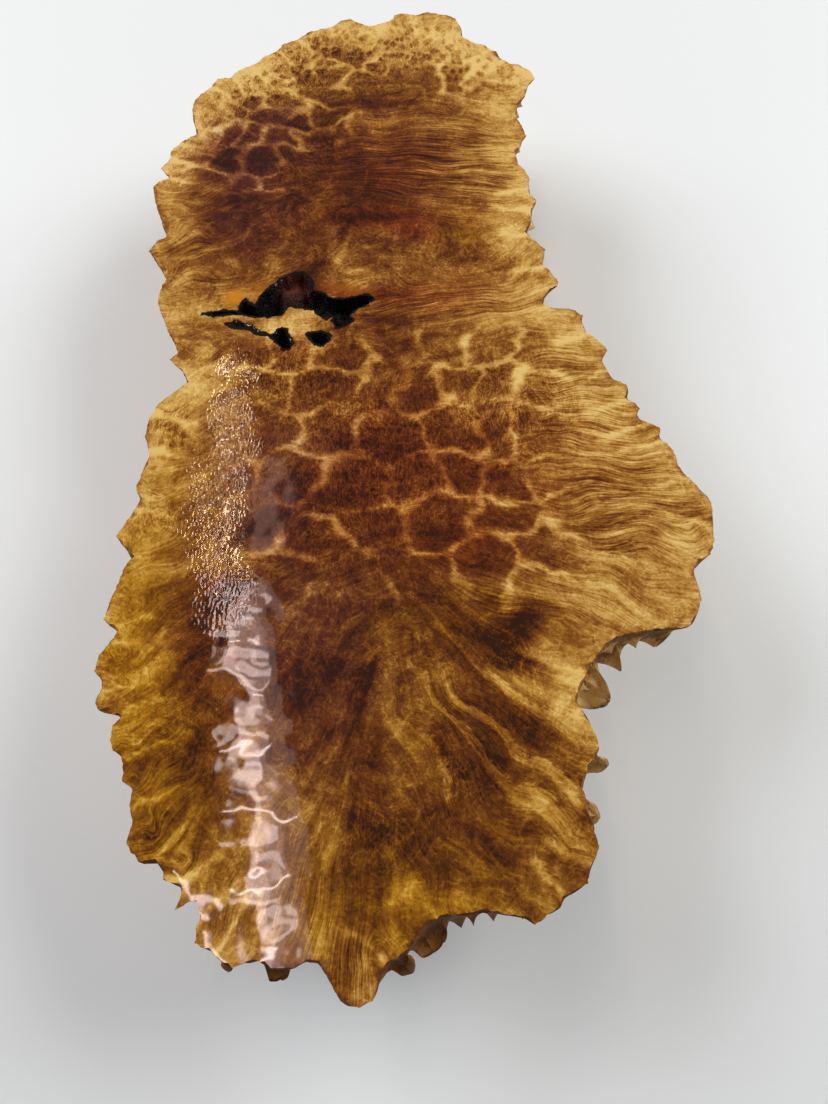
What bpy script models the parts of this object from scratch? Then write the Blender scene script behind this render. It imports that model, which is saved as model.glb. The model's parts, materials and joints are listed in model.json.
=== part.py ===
"""Mallee burl: one debarked burl, sawn level on top, lying on its natural side.

The model is in metres with +Z up and +Y towards the burl's far end. The origin is at the middle of
its footprint, on the surface that it rests on. The live edge is an outline read point by point.
Below it the body is a dome that narrows to a spine, and the dome's skin is a net of short cones,
one at each point of an even scatter. The lowest cones are worn flat, and the burl rests on them.
"""
import math
import random

import bmesh
import bpy
import numpy as np
from mathutils import Vector
from mathutils.geometry import delaunay_2d_cdt

BURL = "mallee_burl"

# Driving sizes, in millimetres
MM = 0.001
THICKNESS = 65.0
SPINE_FAR = (-26.0, 105.0)
SPINE_NEAR = (-6.0, -112.0)
SPINE_REACH = 0.45
DOME_WIDTH_POWER = 0.72
DOME_DEPTH_POWER = 0.95
DOME_TYPICAL_WIDTH = 95.0

# The skin just below the edge: it loses the edge's teeth first, then its lobes and notches
TEETH_WIDTH = 5.0
TEETH_DEPTH = 6.0
LOBE_WIDTH = 21.0
LOBE_DEPTH = 28.0
SKIN_INSET = 3.6
SKIN_INSET_DEPTH = 5.0

# The edge and the cones
EDGE_STEP = 5.0
EDGE_NUDGE = 0.35
CONE_SPACING = 8.6
CONE_TRIES = 26000
CONE_HEIGHT = 5.6
CONE_HEIGHT_SPREAD = 1.6
CONE_MARGIN = 4.6
EDGE_CONE_HEIGHT = 4.2
EDGE_CONE_DEPTH = 14.0
VALLEY_SINK = 0.7
WORN_DEPTH = 4.2
SEED = 41

# The live edge, clockwise from the far lobe, seen from above
LIVE_EDGE = {
    "far_lobe": [
        (-6, 212), (-1.5, 214), (4.5, 212.5), (10.5, 215), (19.5, 212.5), (24.5, 209), (27, 202.5),
        (27, 196)
    ],
    "far_right": [
        (31.5, 192), (37, 190.5), (40.5, 186.5), (43.5, 185.5), (44.5, 180.5), (48, 177),
        (54.5, 174.5), (58.5, 171), (61, 165.5), (57, 160), (55, 152.5), (51, 147), (50.5, 138.5)
    ],
    "right_teeth": [
        (52.5, 134.5), (54.5, 126.5), (52, 123.5), (51.5, 119.5), (48.5, 117), (49.5, 109.5),
        (52, 106.5), (54.5, 99.5), (53.5, 91), (57, 87), (54, 81.5), (53, 74), (50.5, 69.5),
        (58.5, 59.5), (56.5, 51.5), (60, 48), (62.5, 42.5), (62, 39.5), (58.5, 38.5), (54.5, 31)
    ],
    "shoulder": [
        (60, 29), (67, 28.5), (71, 25.5), (70, 22.5), (71.5, 16.5), (74, 15), (76.5, 12.5),
        (78.5, 7.5), (76, 3), (79.5, -6), (83.5, -7), (85.5, -10), (83, -14), (86.5, -16),
        (88.5, -19), (86.5, -21.5), (87, -23.5), (95, -27), (93.5, -31.5), (96.5, -34), (99, -39),
        (99, -43.5), (105.5, -53.5)
    ],
    "right_lobe": [
        (109, -58), (108.5, -65.5), (107.5, -74), (105.5, -79), (101, -81), (98.5, -84.5),
        (100, -95.5), (98, -100), (95, -105.5)
    ],
    "notch": [
        (87.5, -106), (70, -108.5), (66.5, -111), (60, -119), (55, -129.5)
    ],
    "near_right": [
        (58, -134.5), (60.5, -139.5), (61.5, -144), (56, -153), (55, -156.5), (58.5, -173),
        (55, -180), (54.5, -183.5), (47, -187), (46, -190), (38, -194.5)
    ],
    "near": [
        (35.5, -192.5), (26.5, -191), (11.5, -192), (7.5, -194), (3, -200.5), (-3.5, -204.5),
        (-5.5, -207)
    ],
    "near_lobe": [
        (-6, -210.5), (-7, -213.5), (-10, -215), (-14, -215), (-16.5, -213.5), (-22.5, -203.5)
    ],
    "near_left": [
        (-26, -203.5), (-29, -205.5), (-33, -206), (-40, -203.5), (-46.5, -205.5), (-53, -201),
        (-58.5, -199)
    ],
    "left_spikes": [
        (-58, -195), (-57.5, -191.5), (-58.5, -188), (-61, -188.5), (-64.5, -190.5), (-63, -187.5),
        (-63.5, -184), (-69.5, -182.5), (-68.5, -180.5), (-71.5, -177), (-76.5, -178.5),
        (-78, -175.5), (-81.5, -172.5), (-80, -166.5), (-82, -160), (-81, -156.5), (-85.5, -154.5),
        (-85, -151), (-86, -147), (-89, -145.5), (-90.5, -142), (-90.5, -137), (-88.5, -134.5)
    ],
    "left_scallops": [
        (-95.5, -133.5), (-97.5, -129.5), (-95.5, -126), (-96, -122.5), (-99, -120), (-98.5, -115),
        (-93, -106), (-99, -102.5), (-95, -84.5), (-92, -79.5), (-99.5, -72), (-92.5, -57),
        (-95.5, -53), (-92, -39.5), (-95, -31), (-94.5, -23.5), (-91.5, -16), (-82, -7)
    ],
    "waist": [
        (-84.5, -2), (-90.5, 3.5), (-87.5, 7), (-98.5, 30.5), (-98.5, 37.5), (-96, 43.5)
    ],
    "far_left": [
        (-99.5, 49.5), (-106, 58.5), (-103, 64), (-99, 67), (-106, 84.5), (-109, 95.5),
        (-107, 98.5), (-102, 101), (-107, 106.5), (-103.5, 113.5), (-103.5, 118), (-100, 123),
        (-93.5, 128.5), (-97.5, 143.5), (-97, 150.5), (-94.5, 155), (-90, 160), (-87.5, 166),
        (-82, 166)
    ],
    "far": [
        (-79, 170.5), (-70.5, 177), (-67.5, 181), (-61.5, 185.5), (-59, 190.5), (-52.5, 193.5),
        (-47.5, 199.5), (-36, 203.5), (-32, 208), (-27.5, 209.5), (-17.5, 204), (-8.5, 207.5)
    ],
}

# Long blunt thorns that stand out past the live edge: the points of their ends, each given by its
# place in plan and its depth below the sawn face
THORNS = {
    "notch_finger": [(88.5, -105, 7), (90.5, -106.5, 13), (87, -108.5, 17)],
    "notch_thorn": [(74, -114, 15), (76, -116.5, 20)],
    "notch_block": [(69.5, -122, 13), (72, -126, 18), (71, -127.5, 23), (65.5, -128, 24)],
    "near_right_thorn": [(65, -147, 4), (66.5, -149, 9), (64.5, -150.5, 13)],
    "near_right_nodule": [(60, -160, 5), (62.5, -163.5, 8), (61.5, -165.5, 12)],
    "near_nodule": [(14, -197.5, 8), (13.5, -200, 12), (10.5, -202.5, 14), (7, -204, 12)],
    "near_lobe_nodule": [(5, -204.5, 6), (5, -207.5, 10), (1, -208.5, 12), (-3.5, -206.5, 8)],
    "near_left_nodule": [(-51.5, -205, 6), (-48.5, -208, 10)],
    "near_left_thorn": [(-38, -210.5, 13), (-35, -210.5, 14), (-31.5, -208.5, 10)],
}

# Bark and gum hollows in the sawn face: depth, share of the outline left at the floor, outline
HOLLOWS = {
    "gum_hollow": (9.0, 0.86, [
        (-79.5, 25.8), (-71, 27), (-65.5, 27), (-63.5, 33), (-59, 29.5), (-57, 35), (-53, 40),
        (-45.5, 46), (-41.5, 47), (-38.5, 44.5), (-37, 38), (-29, 33), (-23.5, 33), (-14.5, 35.5),
        (-12, 33), (-19, 28.5), (-22, 25), (-20.5, 22.5), (-23.5, 20), (-26.5, 19), (-27.5, 25),
        (-31, 23), (-35.5, 28), (-45, 30.5), (-48.5, 25.5), (-57.5, 24.5), (-63, 25.5),
        (-70.5, 25.5)
    ]),
    "bark_crack": (3.0, 0.8, [
        (-70, 21), (-66.5, 22), (-63, 21), (-60.5, 19.5), (-53, 15), (-57, 15.8), (-62.5, 18.6),
        (-67.5, 19.3)
    ]),
    "left_pit": (6.0, 0.75, [
        (-51.5, 14.5), (-48, 18.5), (-46, 18), (-43.5, 11.5), (-44, 9), (-46.5, 8.5), (-49, 11.5)
    ]),
    "right_pit": (6.0, 0.75, [
        (-38, 15.5), (-33, 16.5), (-29.5, 15.5), (-29, 13), (-31.5, 10.5), (-34, 11), (-36, 13.5)
    ]),
}


def clear_scene():
    """Removes every object that the scene holds."""
    for thing in list(bpy.data.objects):
        bpy.data.objects.remove(thing, do_unlink=True)


def new_collection(name):
    """Adds a collection of this name to the scene."""
    collection = bpy.data.collections.new(name)
    bpy.context.scene.collection.children.link(collection)
    return collection


def wood_material():
    """Oiled burl wood: a warm brown with a soft sheen."""
    material = bpy.data.materials.new("burl_wood")
    material.use_nodes = True
    shader = material.node_tree.nodes["Principled BSDF"]
    shader.inputs["Base Color"].default_value = (0.30, 0.125, 0.035, 1.0)
    shader.inputs["Roughness"].default_value = 0.35
    shader.inputs["Metallic"].default_value = 0.0
    return material


def ease(low, high, value):
    """Rises smoothly from 0 at low to 1 at high."""
    share = np.clip((value - low) / (high - low), 0.0, 1.0)
    return share * share * (3.0 - 2.0 * share)


def edge_loop(chance):
    """The live edge as a closed loop whose steps are no longer than EDGE_STEP."""
    corners = [Vector(point) for stretch in LIVE_EDGE.values() for point in stretch]
    loop = []
    for start, end in zip(corners, corners[1:] + corners[:1]):
        steps = math.ceil((end - start).length / EDGE_STEP)
        across = (end - start).orthogonal().normalized()
        loop.append(start)
        for step in range(1, steps):
            nudge = chance.uniform(-EDGE_NUDGE, EDGE_NUDGE)
            loop.append(start.lerp(end, step / steps) + across * nudge)
    return np.array(loop)


def smooth_loop(loop, width):
    """A closed loop of points 1 mm apart, smoothed by a bell curve of this width."""
    waves = np.fft.fftfreq(len(loop))
    bell = np.exp(-2.0 * (math.pi * width * waves) ** 2)
    return np.real(np.fft.ifft(np.fft.fft(loop, axis=0) * bell[:, None], axis=0))


class Dome:
    """The burl's body without its cones.

    A point of it is given by its place, the distance round the live edge, and by its share of the
    way along the skin from the edge (0) down to the spine (1).
    """

    def __init__(self, edge):
        steps = np.linalg.norm(np.roll(edge, -1, axis=0) - edge, axis=1)
        self.edge_places = np.concatenate([[0.0], np.cumsum(steps)[:-1]])
        self.length = float(steps.sum())
        self.places = np.linspace(0.0, self.length, round(self.length), endpoint=False)
        self.sharp = self.between(self.edge_places, edge, self.places)
        self.eased = smooth_loop(self.sharp, TEETH_WIDTH)
        self.round = smooth_loop(self.sharp, LOBE_WIDTH)
        self.spine = self.spine_points(self.round)

    def between(self, places, values, wanted):
        """Values given at places round the edge, read at the wanted places."""
        columns = [np.interp(wanted, places, column, period=self.length) for column in values.T]
        return np.stack(columns, axis=-1)

    @staticmethod
    def spine_points(outline):
        """The point of the spine that each point of the outline leans towards."""
        far = np.array(SPINE_FAR)
        along = np.array(SPINE_NEAR) - far
        share = (outline - far) @ along / (along @ along)
        return far + along * ease(-SPINE_REACH, 1.0 + SPINE_REACH, share)[:, None]

    @staticmethod
    def turn(share):
        """The angle down the dome's profile, at an even pace along the skin."""
        angles = np.linspace(0.0, math.pi / 2, 400)
        across = DOME_TYPICAL_WIDTH * np.cos(angles) ** DOME_WIDTH_POWER
        down = THICKNESS * np.sin(angles) ** DOME_DEPTH_POWER
        walked = np.concatenate([[0.0], np.cumsum(np.hypot(np.diff(across), np.diff(down)))])
        return np.interp(share, walked / walked[-1], angles)

    def flat_points(self, place, share):
        """The skin spread out flat, where the cones are joined into a net."""
        spine = self.between(self.places, self.spine, place)
        outline = self.between(self.places, self.round, place)
        return spine + (outline - spine) * (1.0 - share)[:, None]

    def points(self, place, share):
        """The skin in space, in millimetres above the surface that the burl rests on."""
        angle = self.turn(share)
        depth = THICKNESS * np.sin(angle) ** DOME_DEPTH_POWER
        spine = self.between(self.places, self.spine, place)
        no_teeth = ease(0.0, TEETH_DEPTH, depth)[:, None]
        no_lobes = ease(0.0, LOBE_DEPTH, depth)[:, None]
        outline = self.between(self.places, self.eased, place) * (1.0 - no_lobes)
        outline += self.between(self.places, self.round, place) * no_lobes
        outline = self.between(self.places, self.sharp, place) * (1.0 - no_teeth) + outline * no_teeth
        arm = outline - spine
        outward = arm / np.linalg.norm(arm, axis=1)[:, None]
        inset = SKIN_INSET * ease(0.0, SKIN_INSET_DEPTH, depth) * (1.0 - share)
        flat = spine + arm * (np.cos(angle) ** DOME_WIDTH_POWER)[:, None] - outward * inset[:, None]
        return np.column_stack([flat, THICKNESS - depth])


def swell(points):
    """Broad lumps of the body, as a height along the skin's normal."""
    x, y, z = points.T
    broad = 2.0 * np.sin(x / 27.0 + 1.3) * np.sin(y / 34.0 + 0.4)
    fine = 1.3 * np.sin((x - y) / 19.0 + z / 16.0)
    return broad + fine


def thorn_ends():
    """The ends of the long thorns, in millimetres above the surface that the burl rests on."""
    ends = [end for thorn in THORNS.values() for end in thorn]
    return np.array([(x, y, THICKNESS - depth) for x, y, depth in ends])


def scatter_cones(dome, chance):
    """Places and shares of the thorn ends, then of the cone tips, evenly spaced around them."""
    place = np.array([chance.uniform(0.0, dome.length) for _ in range(CONE_TRIES)])
    share = np.array([chance.random() for _ in range(CONE_TRIES)])
    points = dome.points(place, share)
    roots = []
    for end in thorn_ends():
        by_distance = np.argsort(np.linalg.norm(points - end, axis=1))
        roots.append(next(index for index in by_distance if index not in roots))
    cells = {}
    for root in roots:
        cell = tuple(np.floor(points[root] / CONE_SPACING).astype(int))
        cells.setdefault(cell, []).append(root)
    kept = list(roots)
    for index, point in enumerate(points):
        if point[2] > THICKNESS - CONE_MARGIN:
            continue
        cell = tuple(np.floor(point / CONE_SPACING).astype(int))
        around = [
            other
            for dx in (-1, 0, 1)
            for dy in (-1, 0, 1)
            for dz in (-1, 0, 1)
            for other in cells.get((cell[0] + dx, cell[1] + dy, cell[2] + dz), ())
        ]
        if all(np.linalg.norm(points[other] - point) >= CONE_SPACING for other in around):
            cells.setdefault(cell, []).append(index)
            kept.append(index)
    return place[kept], share[kept]


def net_of_cones(dome, edge, place, share):
    """A mesh of the skin over the edge, the thorn ends and the cone tips; the first two are listed."""
    level = np.zeros(len(edge))
    flat = np.vstack([dome.flat_points(dome.edge_places, level), dome.flat_points(place, share)])
    solid = np.vstack([dome.points(dome.edge_places, level), dome.points(place, share)])
    border = list(range(len(edge)))
    net = delaunay_2d_cdt([Vector(point) for point in flat], [], [border], 1, 1e-4)
    faces, sources = net[2], net[3]
    skin = bmesh.new()
    vertices = [skin.verts.new(solid[source[0]]) for source in sources]
    for face in faces:
        skin.faces.new([vertices[index] for index in reversed(face)])
    by_source = {source[0]: vertices[index] for index, source in enumerate(sources)}
    rim = [by_source[index] for index in border]
    ends = [by_source[len(edge) + index] for index in range(len(thorn_ends()))]
    return skin, rim, ends


def cone_height(point, chance):
    """How far a cone stands out of the skin: less next to the edge."""
    height = CONE_HEIGHT + chance.uniform(-CONE_HEIGHT_SPREAD, CONE_HEIGHT_SPREAD)
    below = THICKNESS - point[2]
    return height + (EDGE_CONE_HEIGHT - height) * (1.0 - float(ease(0.0, EDGE_CONE_DEPTH, below)))


def raise_cones(skin, rim, ends, chance):
    """Turns the net into cones: a valley in each face, and ridges from valley to valley.

    A thorn keeps the edges between its own ends, so it ends in a blunt ridge.
    """
    fixed = set(rim) | set(ends)
    tips = [vertex for vertex in skin.verts if vertex not in fixed]
    thorn_of = dict(zip(ends, [name for name, thorn in THORNS.items() for _ in thorn]))
    turning = []
    for edge in skin.edges:
        first, second = edge.verts
        in_one_thorn = first in thorn_of and thorn_of[first] == thorn_of.get(second)
        if len(edge.link_faces) == 2 and not in_one_thorn:
            turning.append(edge)
    valleys = bmesh.ops.poke(skin, faces=skin.faces[:], center_mode="MEAN")["verts"]
    bmesh.ops.rotate_edges(skin, edges=turning, use_ccw=True)
    skin.normal_update()
    moves = [(vertex, Vector(end) - vertex.co) for vertex, end in zip(ends, thorn_ends())]
    for tip in tips:
        lift = cone_height(tip.co, chance) + float(swell(np.array([tip.co]))[0])
        moves.append((tip, tip.normal * lift))
    for valley in valleys:
        below = THICKNESS - valley.co.z
        lift = (float(swell(np.array([valley.co]))[0]) - VALLEY_SINK) * float(ease(0.0, 9.0, below))
        moves.append((valley, valley.normal * lift))
    for vertex, move in moves:
        vertex.co += move


def settle(skin):
    """Stands the body on its worn cones, with its sawn face level and its footprint centred."""
    lowest = min(vertex.co.z for vertex in skin.verts)
    drop = Vector((0.0, 0.0, lowest + WORN_DEPTH))
    for vertex in skin.verts:
        vertex.co -= drop * (1.0 - vertex.co.z / THICKNESS)
    middle = Vector((0.0, 0.0, 0.0))
    for axis in (0, 1):
        reach = [vertex.co[axis] for vertex in skin.verts]
        middle[axis] = (min(reach) + max(reach)) / 2.0
    bmesh.ops.translate(skin, verts=skin.verts[:], vec=-middle)
    return middle


def add_object(name, shape, collection):
    """Stores a shape built in millimetres as an object in metres."""
    bmesh.ops.scale(shape, verts=shape.verts[:], vec=(MM, MM, MM))
    bmesh.ops.recalc_face_normals(shape, faces=shape.faces[:])
    mesh = bpy.data.meshes.new(name)
    shape.to_mesh(mesh)
    shape.free()
    thing = bpy.data.objects.new(name, mesh)
    collection.objects.link(thing)
    return thing


def build_burl(collection):
    """The burl before its hollows are cut, and how far its outline was moved to centre it."""
    chance = random.Random(SEED)
    edge = edge_loop(chance)
    dome = Dome(edge)
    place, share = scatter_cones(dome, chance)
    skin, rim, ends = net_of_cones(dome, edge, place, share)
    raise_cones(skin, rim, ends, chance)
    skin.faces.new(rim)
    middle = settle(skin)
    burl = add_object(BURL, skin, collection)
    burl.data.materials.append(wood_material())
    return burl, middle


def hide_cutter(cutter):
    """Keeps a cutter out of the finished model."""
    cutter.hide_render = True
    cutter.display_type = "WIRE"


def hollow_cutter(name, depth, floor_share, outline, middle, collection):
    """A plug with an outline on the sawn face that narrows towards the hollow's floor."""
    above = 4.0
    plug = bmesh.new()
    top = plug.faces.new([plug.verts.new((x, y, THICKNESS + above)) for x, y in outline])
    side = bmesh.ops.extrude_face_region(plug, geom=[top])
    floor = [item for item in side["geom"] if isinstance(item, bmesh.types.BMVert)]
    heart = sum((vertex.co for vertex in floor), Vector()) / len(floor)
    for vertex in floor:
        vertex.co.xy = heart.xy + (vertex.co.xy - heart.xy) * floor_share
        vertex.co.z = THICKNESS - depth
    bmesh.ops.translate(plug, verts=plug.verts[:], vec=-middle)
    cutter = add_object(name, plug, collection)
    hide_cutter(cutter)
    return cutter


def base_cutter(collection):
    """A block below the surface that the burl rests on, which wears the lowest cones flat."""
    width, length, height = 260.0, 480.0, 20.0
    block = bmesh.new()
    bmesh.ops.create_cube(block, size=1.0)
    bmesh.ops.scale(block, verts=block.verts[:], vec=(width, length, height))
    bmesh.ops.translate(block, verts=block.verts[:], vec=(0.0, 0.0, -height / 2.0))
    cutter = add_object("worn_base_cutter", block, collection)
    hide_cutter(cutter)
    return cutter


def cut(burl, cutter):
    """Takes a cutter's shape out of the burl."""
    boolean = burl.modifiers.new(cutter.name, "BOOLEAN")
    boolean.operation = "DIFFERENCE"
    boolean.solver = "EXACT"
    boolean.object = cutter


def main():
    """Builds the burl, cuts its hollows and wears its base flat."""
    clear_scene()
    parts = new_collection(BURL)
    cutters = new_collection("cutters")
    burl, middle = build_burl(parts)
    cut(burl, base_cutter(cutters))
    for name, (depth, floor_share, outline) in HOLLOWS.items():
        cut(burl, hollow_cutter(name + "_cutter", depth, floor_share, outline, middle, cutters))


main()
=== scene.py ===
"""The looks of a mallee burl: half of a debarked burl, sawn level on top and lying on its natural side.

One fine piece stands for the part's only node. Its natural side is the node's own cones, made finer.
Its sawn face is tiled finely inside the live edge, with the bark pocket modelled in it, and each
point of it carries the grain, tone and eyes of the figure for the shader to draw.
"""
import json
import logging
import math
from dataclasses import dataclass, field
from enum import Enum

import bpy
import numpy as np
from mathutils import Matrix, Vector, kdtree, noise
from mathutils.geometry import delaunay_2d_cdt

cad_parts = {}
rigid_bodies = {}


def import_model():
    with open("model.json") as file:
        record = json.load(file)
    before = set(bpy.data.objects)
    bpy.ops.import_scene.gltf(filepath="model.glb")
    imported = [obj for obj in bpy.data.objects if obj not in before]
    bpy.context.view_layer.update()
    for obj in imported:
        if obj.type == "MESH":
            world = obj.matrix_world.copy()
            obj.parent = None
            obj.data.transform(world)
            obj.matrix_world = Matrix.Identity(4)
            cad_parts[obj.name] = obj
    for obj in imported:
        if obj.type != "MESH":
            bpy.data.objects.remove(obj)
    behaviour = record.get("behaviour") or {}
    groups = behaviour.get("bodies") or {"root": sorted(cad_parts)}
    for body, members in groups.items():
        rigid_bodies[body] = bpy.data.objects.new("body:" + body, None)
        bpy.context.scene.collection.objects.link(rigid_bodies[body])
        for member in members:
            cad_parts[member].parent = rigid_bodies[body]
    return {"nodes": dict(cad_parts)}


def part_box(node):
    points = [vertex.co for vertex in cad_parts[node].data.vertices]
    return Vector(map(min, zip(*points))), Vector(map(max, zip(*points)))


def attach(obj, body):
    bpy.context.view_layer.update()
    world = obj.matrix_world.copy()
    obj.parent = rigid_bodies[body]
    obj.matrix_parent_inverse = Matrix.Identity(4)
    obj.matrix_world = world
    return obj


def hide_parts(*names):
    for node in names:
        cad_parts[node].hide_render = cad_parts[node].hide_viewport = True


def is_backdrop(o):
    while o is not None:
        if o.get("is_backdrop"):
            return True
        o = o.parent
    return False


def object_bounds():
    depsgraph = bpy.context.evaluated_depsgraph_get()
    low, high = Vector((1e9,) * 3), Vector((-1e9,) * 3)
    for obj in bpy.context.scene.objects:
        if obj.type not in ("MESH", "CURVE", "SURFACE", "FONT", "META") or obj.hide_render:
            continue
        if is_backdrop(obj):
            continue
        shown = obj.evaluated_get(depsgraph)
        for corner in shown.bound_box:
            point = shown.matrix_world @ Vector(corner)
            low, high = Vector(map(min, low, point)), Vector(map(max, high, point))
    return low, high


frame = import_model()

LOG = logging.getLogger("mallee_burl")
MM = 0.001
NODE = "mallee_burl"
Colour = tuple[float, float, float, float]
Place = tuple[float, float]
Ramp = tuple[tuple[float, Colour], ...]

# Where the seven shades of a wood stand between its palest and its darkest
STOPS = (0.0, 0.16, 0.34, 0.52, 0.72, 0.88, 1.0)


def pigment(red: float, green: float, blue: float) -> Colour:
    """Turns a colour as a screen shows it into the linear colour that a shader takes.

    Args:
        red: Red from 0 to 255.
        green: Green from 0 to 255.
        blue: Blue from 0 to 255.

    Returns:
        The linear colour, opaque.
    """
    parts = [channel / 255.0 for channel in (red, green, blue)]
    linear = [part / 12.92 if part <= 0.04045 else ((part + 0.055) / 1.055) ** 2.4 for part in parts]
    return (*linear, 1.0)


def shades(*colours: tuple[int, int, int]) -> Ramp:
    """Sets a wood's shades at the common stops.

    Args:
        colours: The shades from pale to dark, as a screen shows them.

    Returns:
        The stops with their colours.
    """
    return tuple((stop, pigment(*colour)) for stop, colour in zip(STOPS, colours))


def ease(low: float, high: float, value: np.ndarray) -> np.ndarray:
    """Rises smoothly from 0 at low to 1 at high.

    Args:
        low: Where the rise starts.
        high: Where it ends.
        value: The values to read.

    Returns:
        The share of the rise at each value.
    """
    share = np.clip((value - low) / (high - low), 0.0, 1.0)
    return share * share * (3.0 - 2.0 * share)


class Finish(Enum):
    """The finishes of the burl, in the order of its material slots."""

    SAWN = 0
    NATURAL = 1
    BARK = 2


@dataclass(frozen=True)
class Drift:
    """Smooth random values over a plane, the same in every run.

    Attributes:
        seed: The seed of the values.
        cells: How many random values there are along x and along y before they repeat.
    """

    seed: int
    cells: int = 97

    def at(self, points: np.ndarray, size: float) -> np.ndarray:
        """Reads the values at points.

        Args:
            points: Plan points in millimetres.
            size: Width of a swell in millimetres.

        Returns:
            Values from -1 to 1.
        """
        lattice = np.random.default_rng(self.seed).uniform(-1.0, 1.0, (self.cells, self.cells))
        place = points / size + 31.7
        corner = np.floor(place).astype(int)
        part = place - corner
        part = part * part * (3.0 - 2.0 * part)
        left, low = corner[:, 0] % self.cells, corner[:, 1] % self.cells
        right, high = (left + 1) % self.cells, (low + 1) % self.cells
        below = lattice[left, low] * (1.0 - part[:, 0]) + lattice[right, low] * part[:, 0]
        above = lattice[left, high] * (1.0 - part[:, 0]) + lattice[right, high] * part[:, 0]
        return below * (1.0 - part[:, 1]) + above * part[:, 1]

    def rough(self, points: np.ndarray, size: float) -> np.ndarray:
        """Adds three octaves of the values, each half as wide and half as strong.

        Args:
            points: Plan points in millimetres.
            size: Width of the widest swell in millimetres.

        Returns:
            Values from about -1.2 to 1.2.
        """
        return sum(self.at(points + 17.0 * octave, size / 2**octave) / 2**octave for octave in range(3))


@dataclass(frozen=True)
class Patch:
    """An oval of the figure, in plan millimetres: middle, half sizes, strength and turn in degrees."""

    x: float
    y: float
    wide: float
    high: float
    strength: float
    turn: float = 0.0

    def at(self, points: np.ndarray) -> np.ndarray:
        """Reads the patch at points.

        Args:
            points: Plan points in millimetres.

        Returns:
            The patch's strength at each point, fading out at its border.
        """
        angle = math.radians(self.turn)
        away = points - (self.x, self.y)
        along = (away[:, 0] * math.cos(angle) + away[:, 1] * math.sin(angle)) / self.wide
        across = (away[:, 1] * math.cos(angle) - away[:, 0] * math.sin(angle)) / self.high
        return self.strength * np.exp(-((along**2 + across**2) ** 1.3))


def ovals(*rows: tuple[float, ...]) -> list[Patch]:
    """Makes patches of rows of numbers.

    Args:
        rows: Each patch's values in their order.

    Returns:
        The patches.
    """
    return [Patch(*row) for row in rows]


def spread(patches: list[Patch], points: np.ndarray) -> np.ndarray:
    """Adds up patches at points.

    Args:
        patches: The patches.
        points: Plan points in millimetres.

    Returns:
        The sum at each point.
    """
    return sum(patch.at(points) for patch in patches)


# The figure of the sawn face, in plan millimetres

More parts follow.
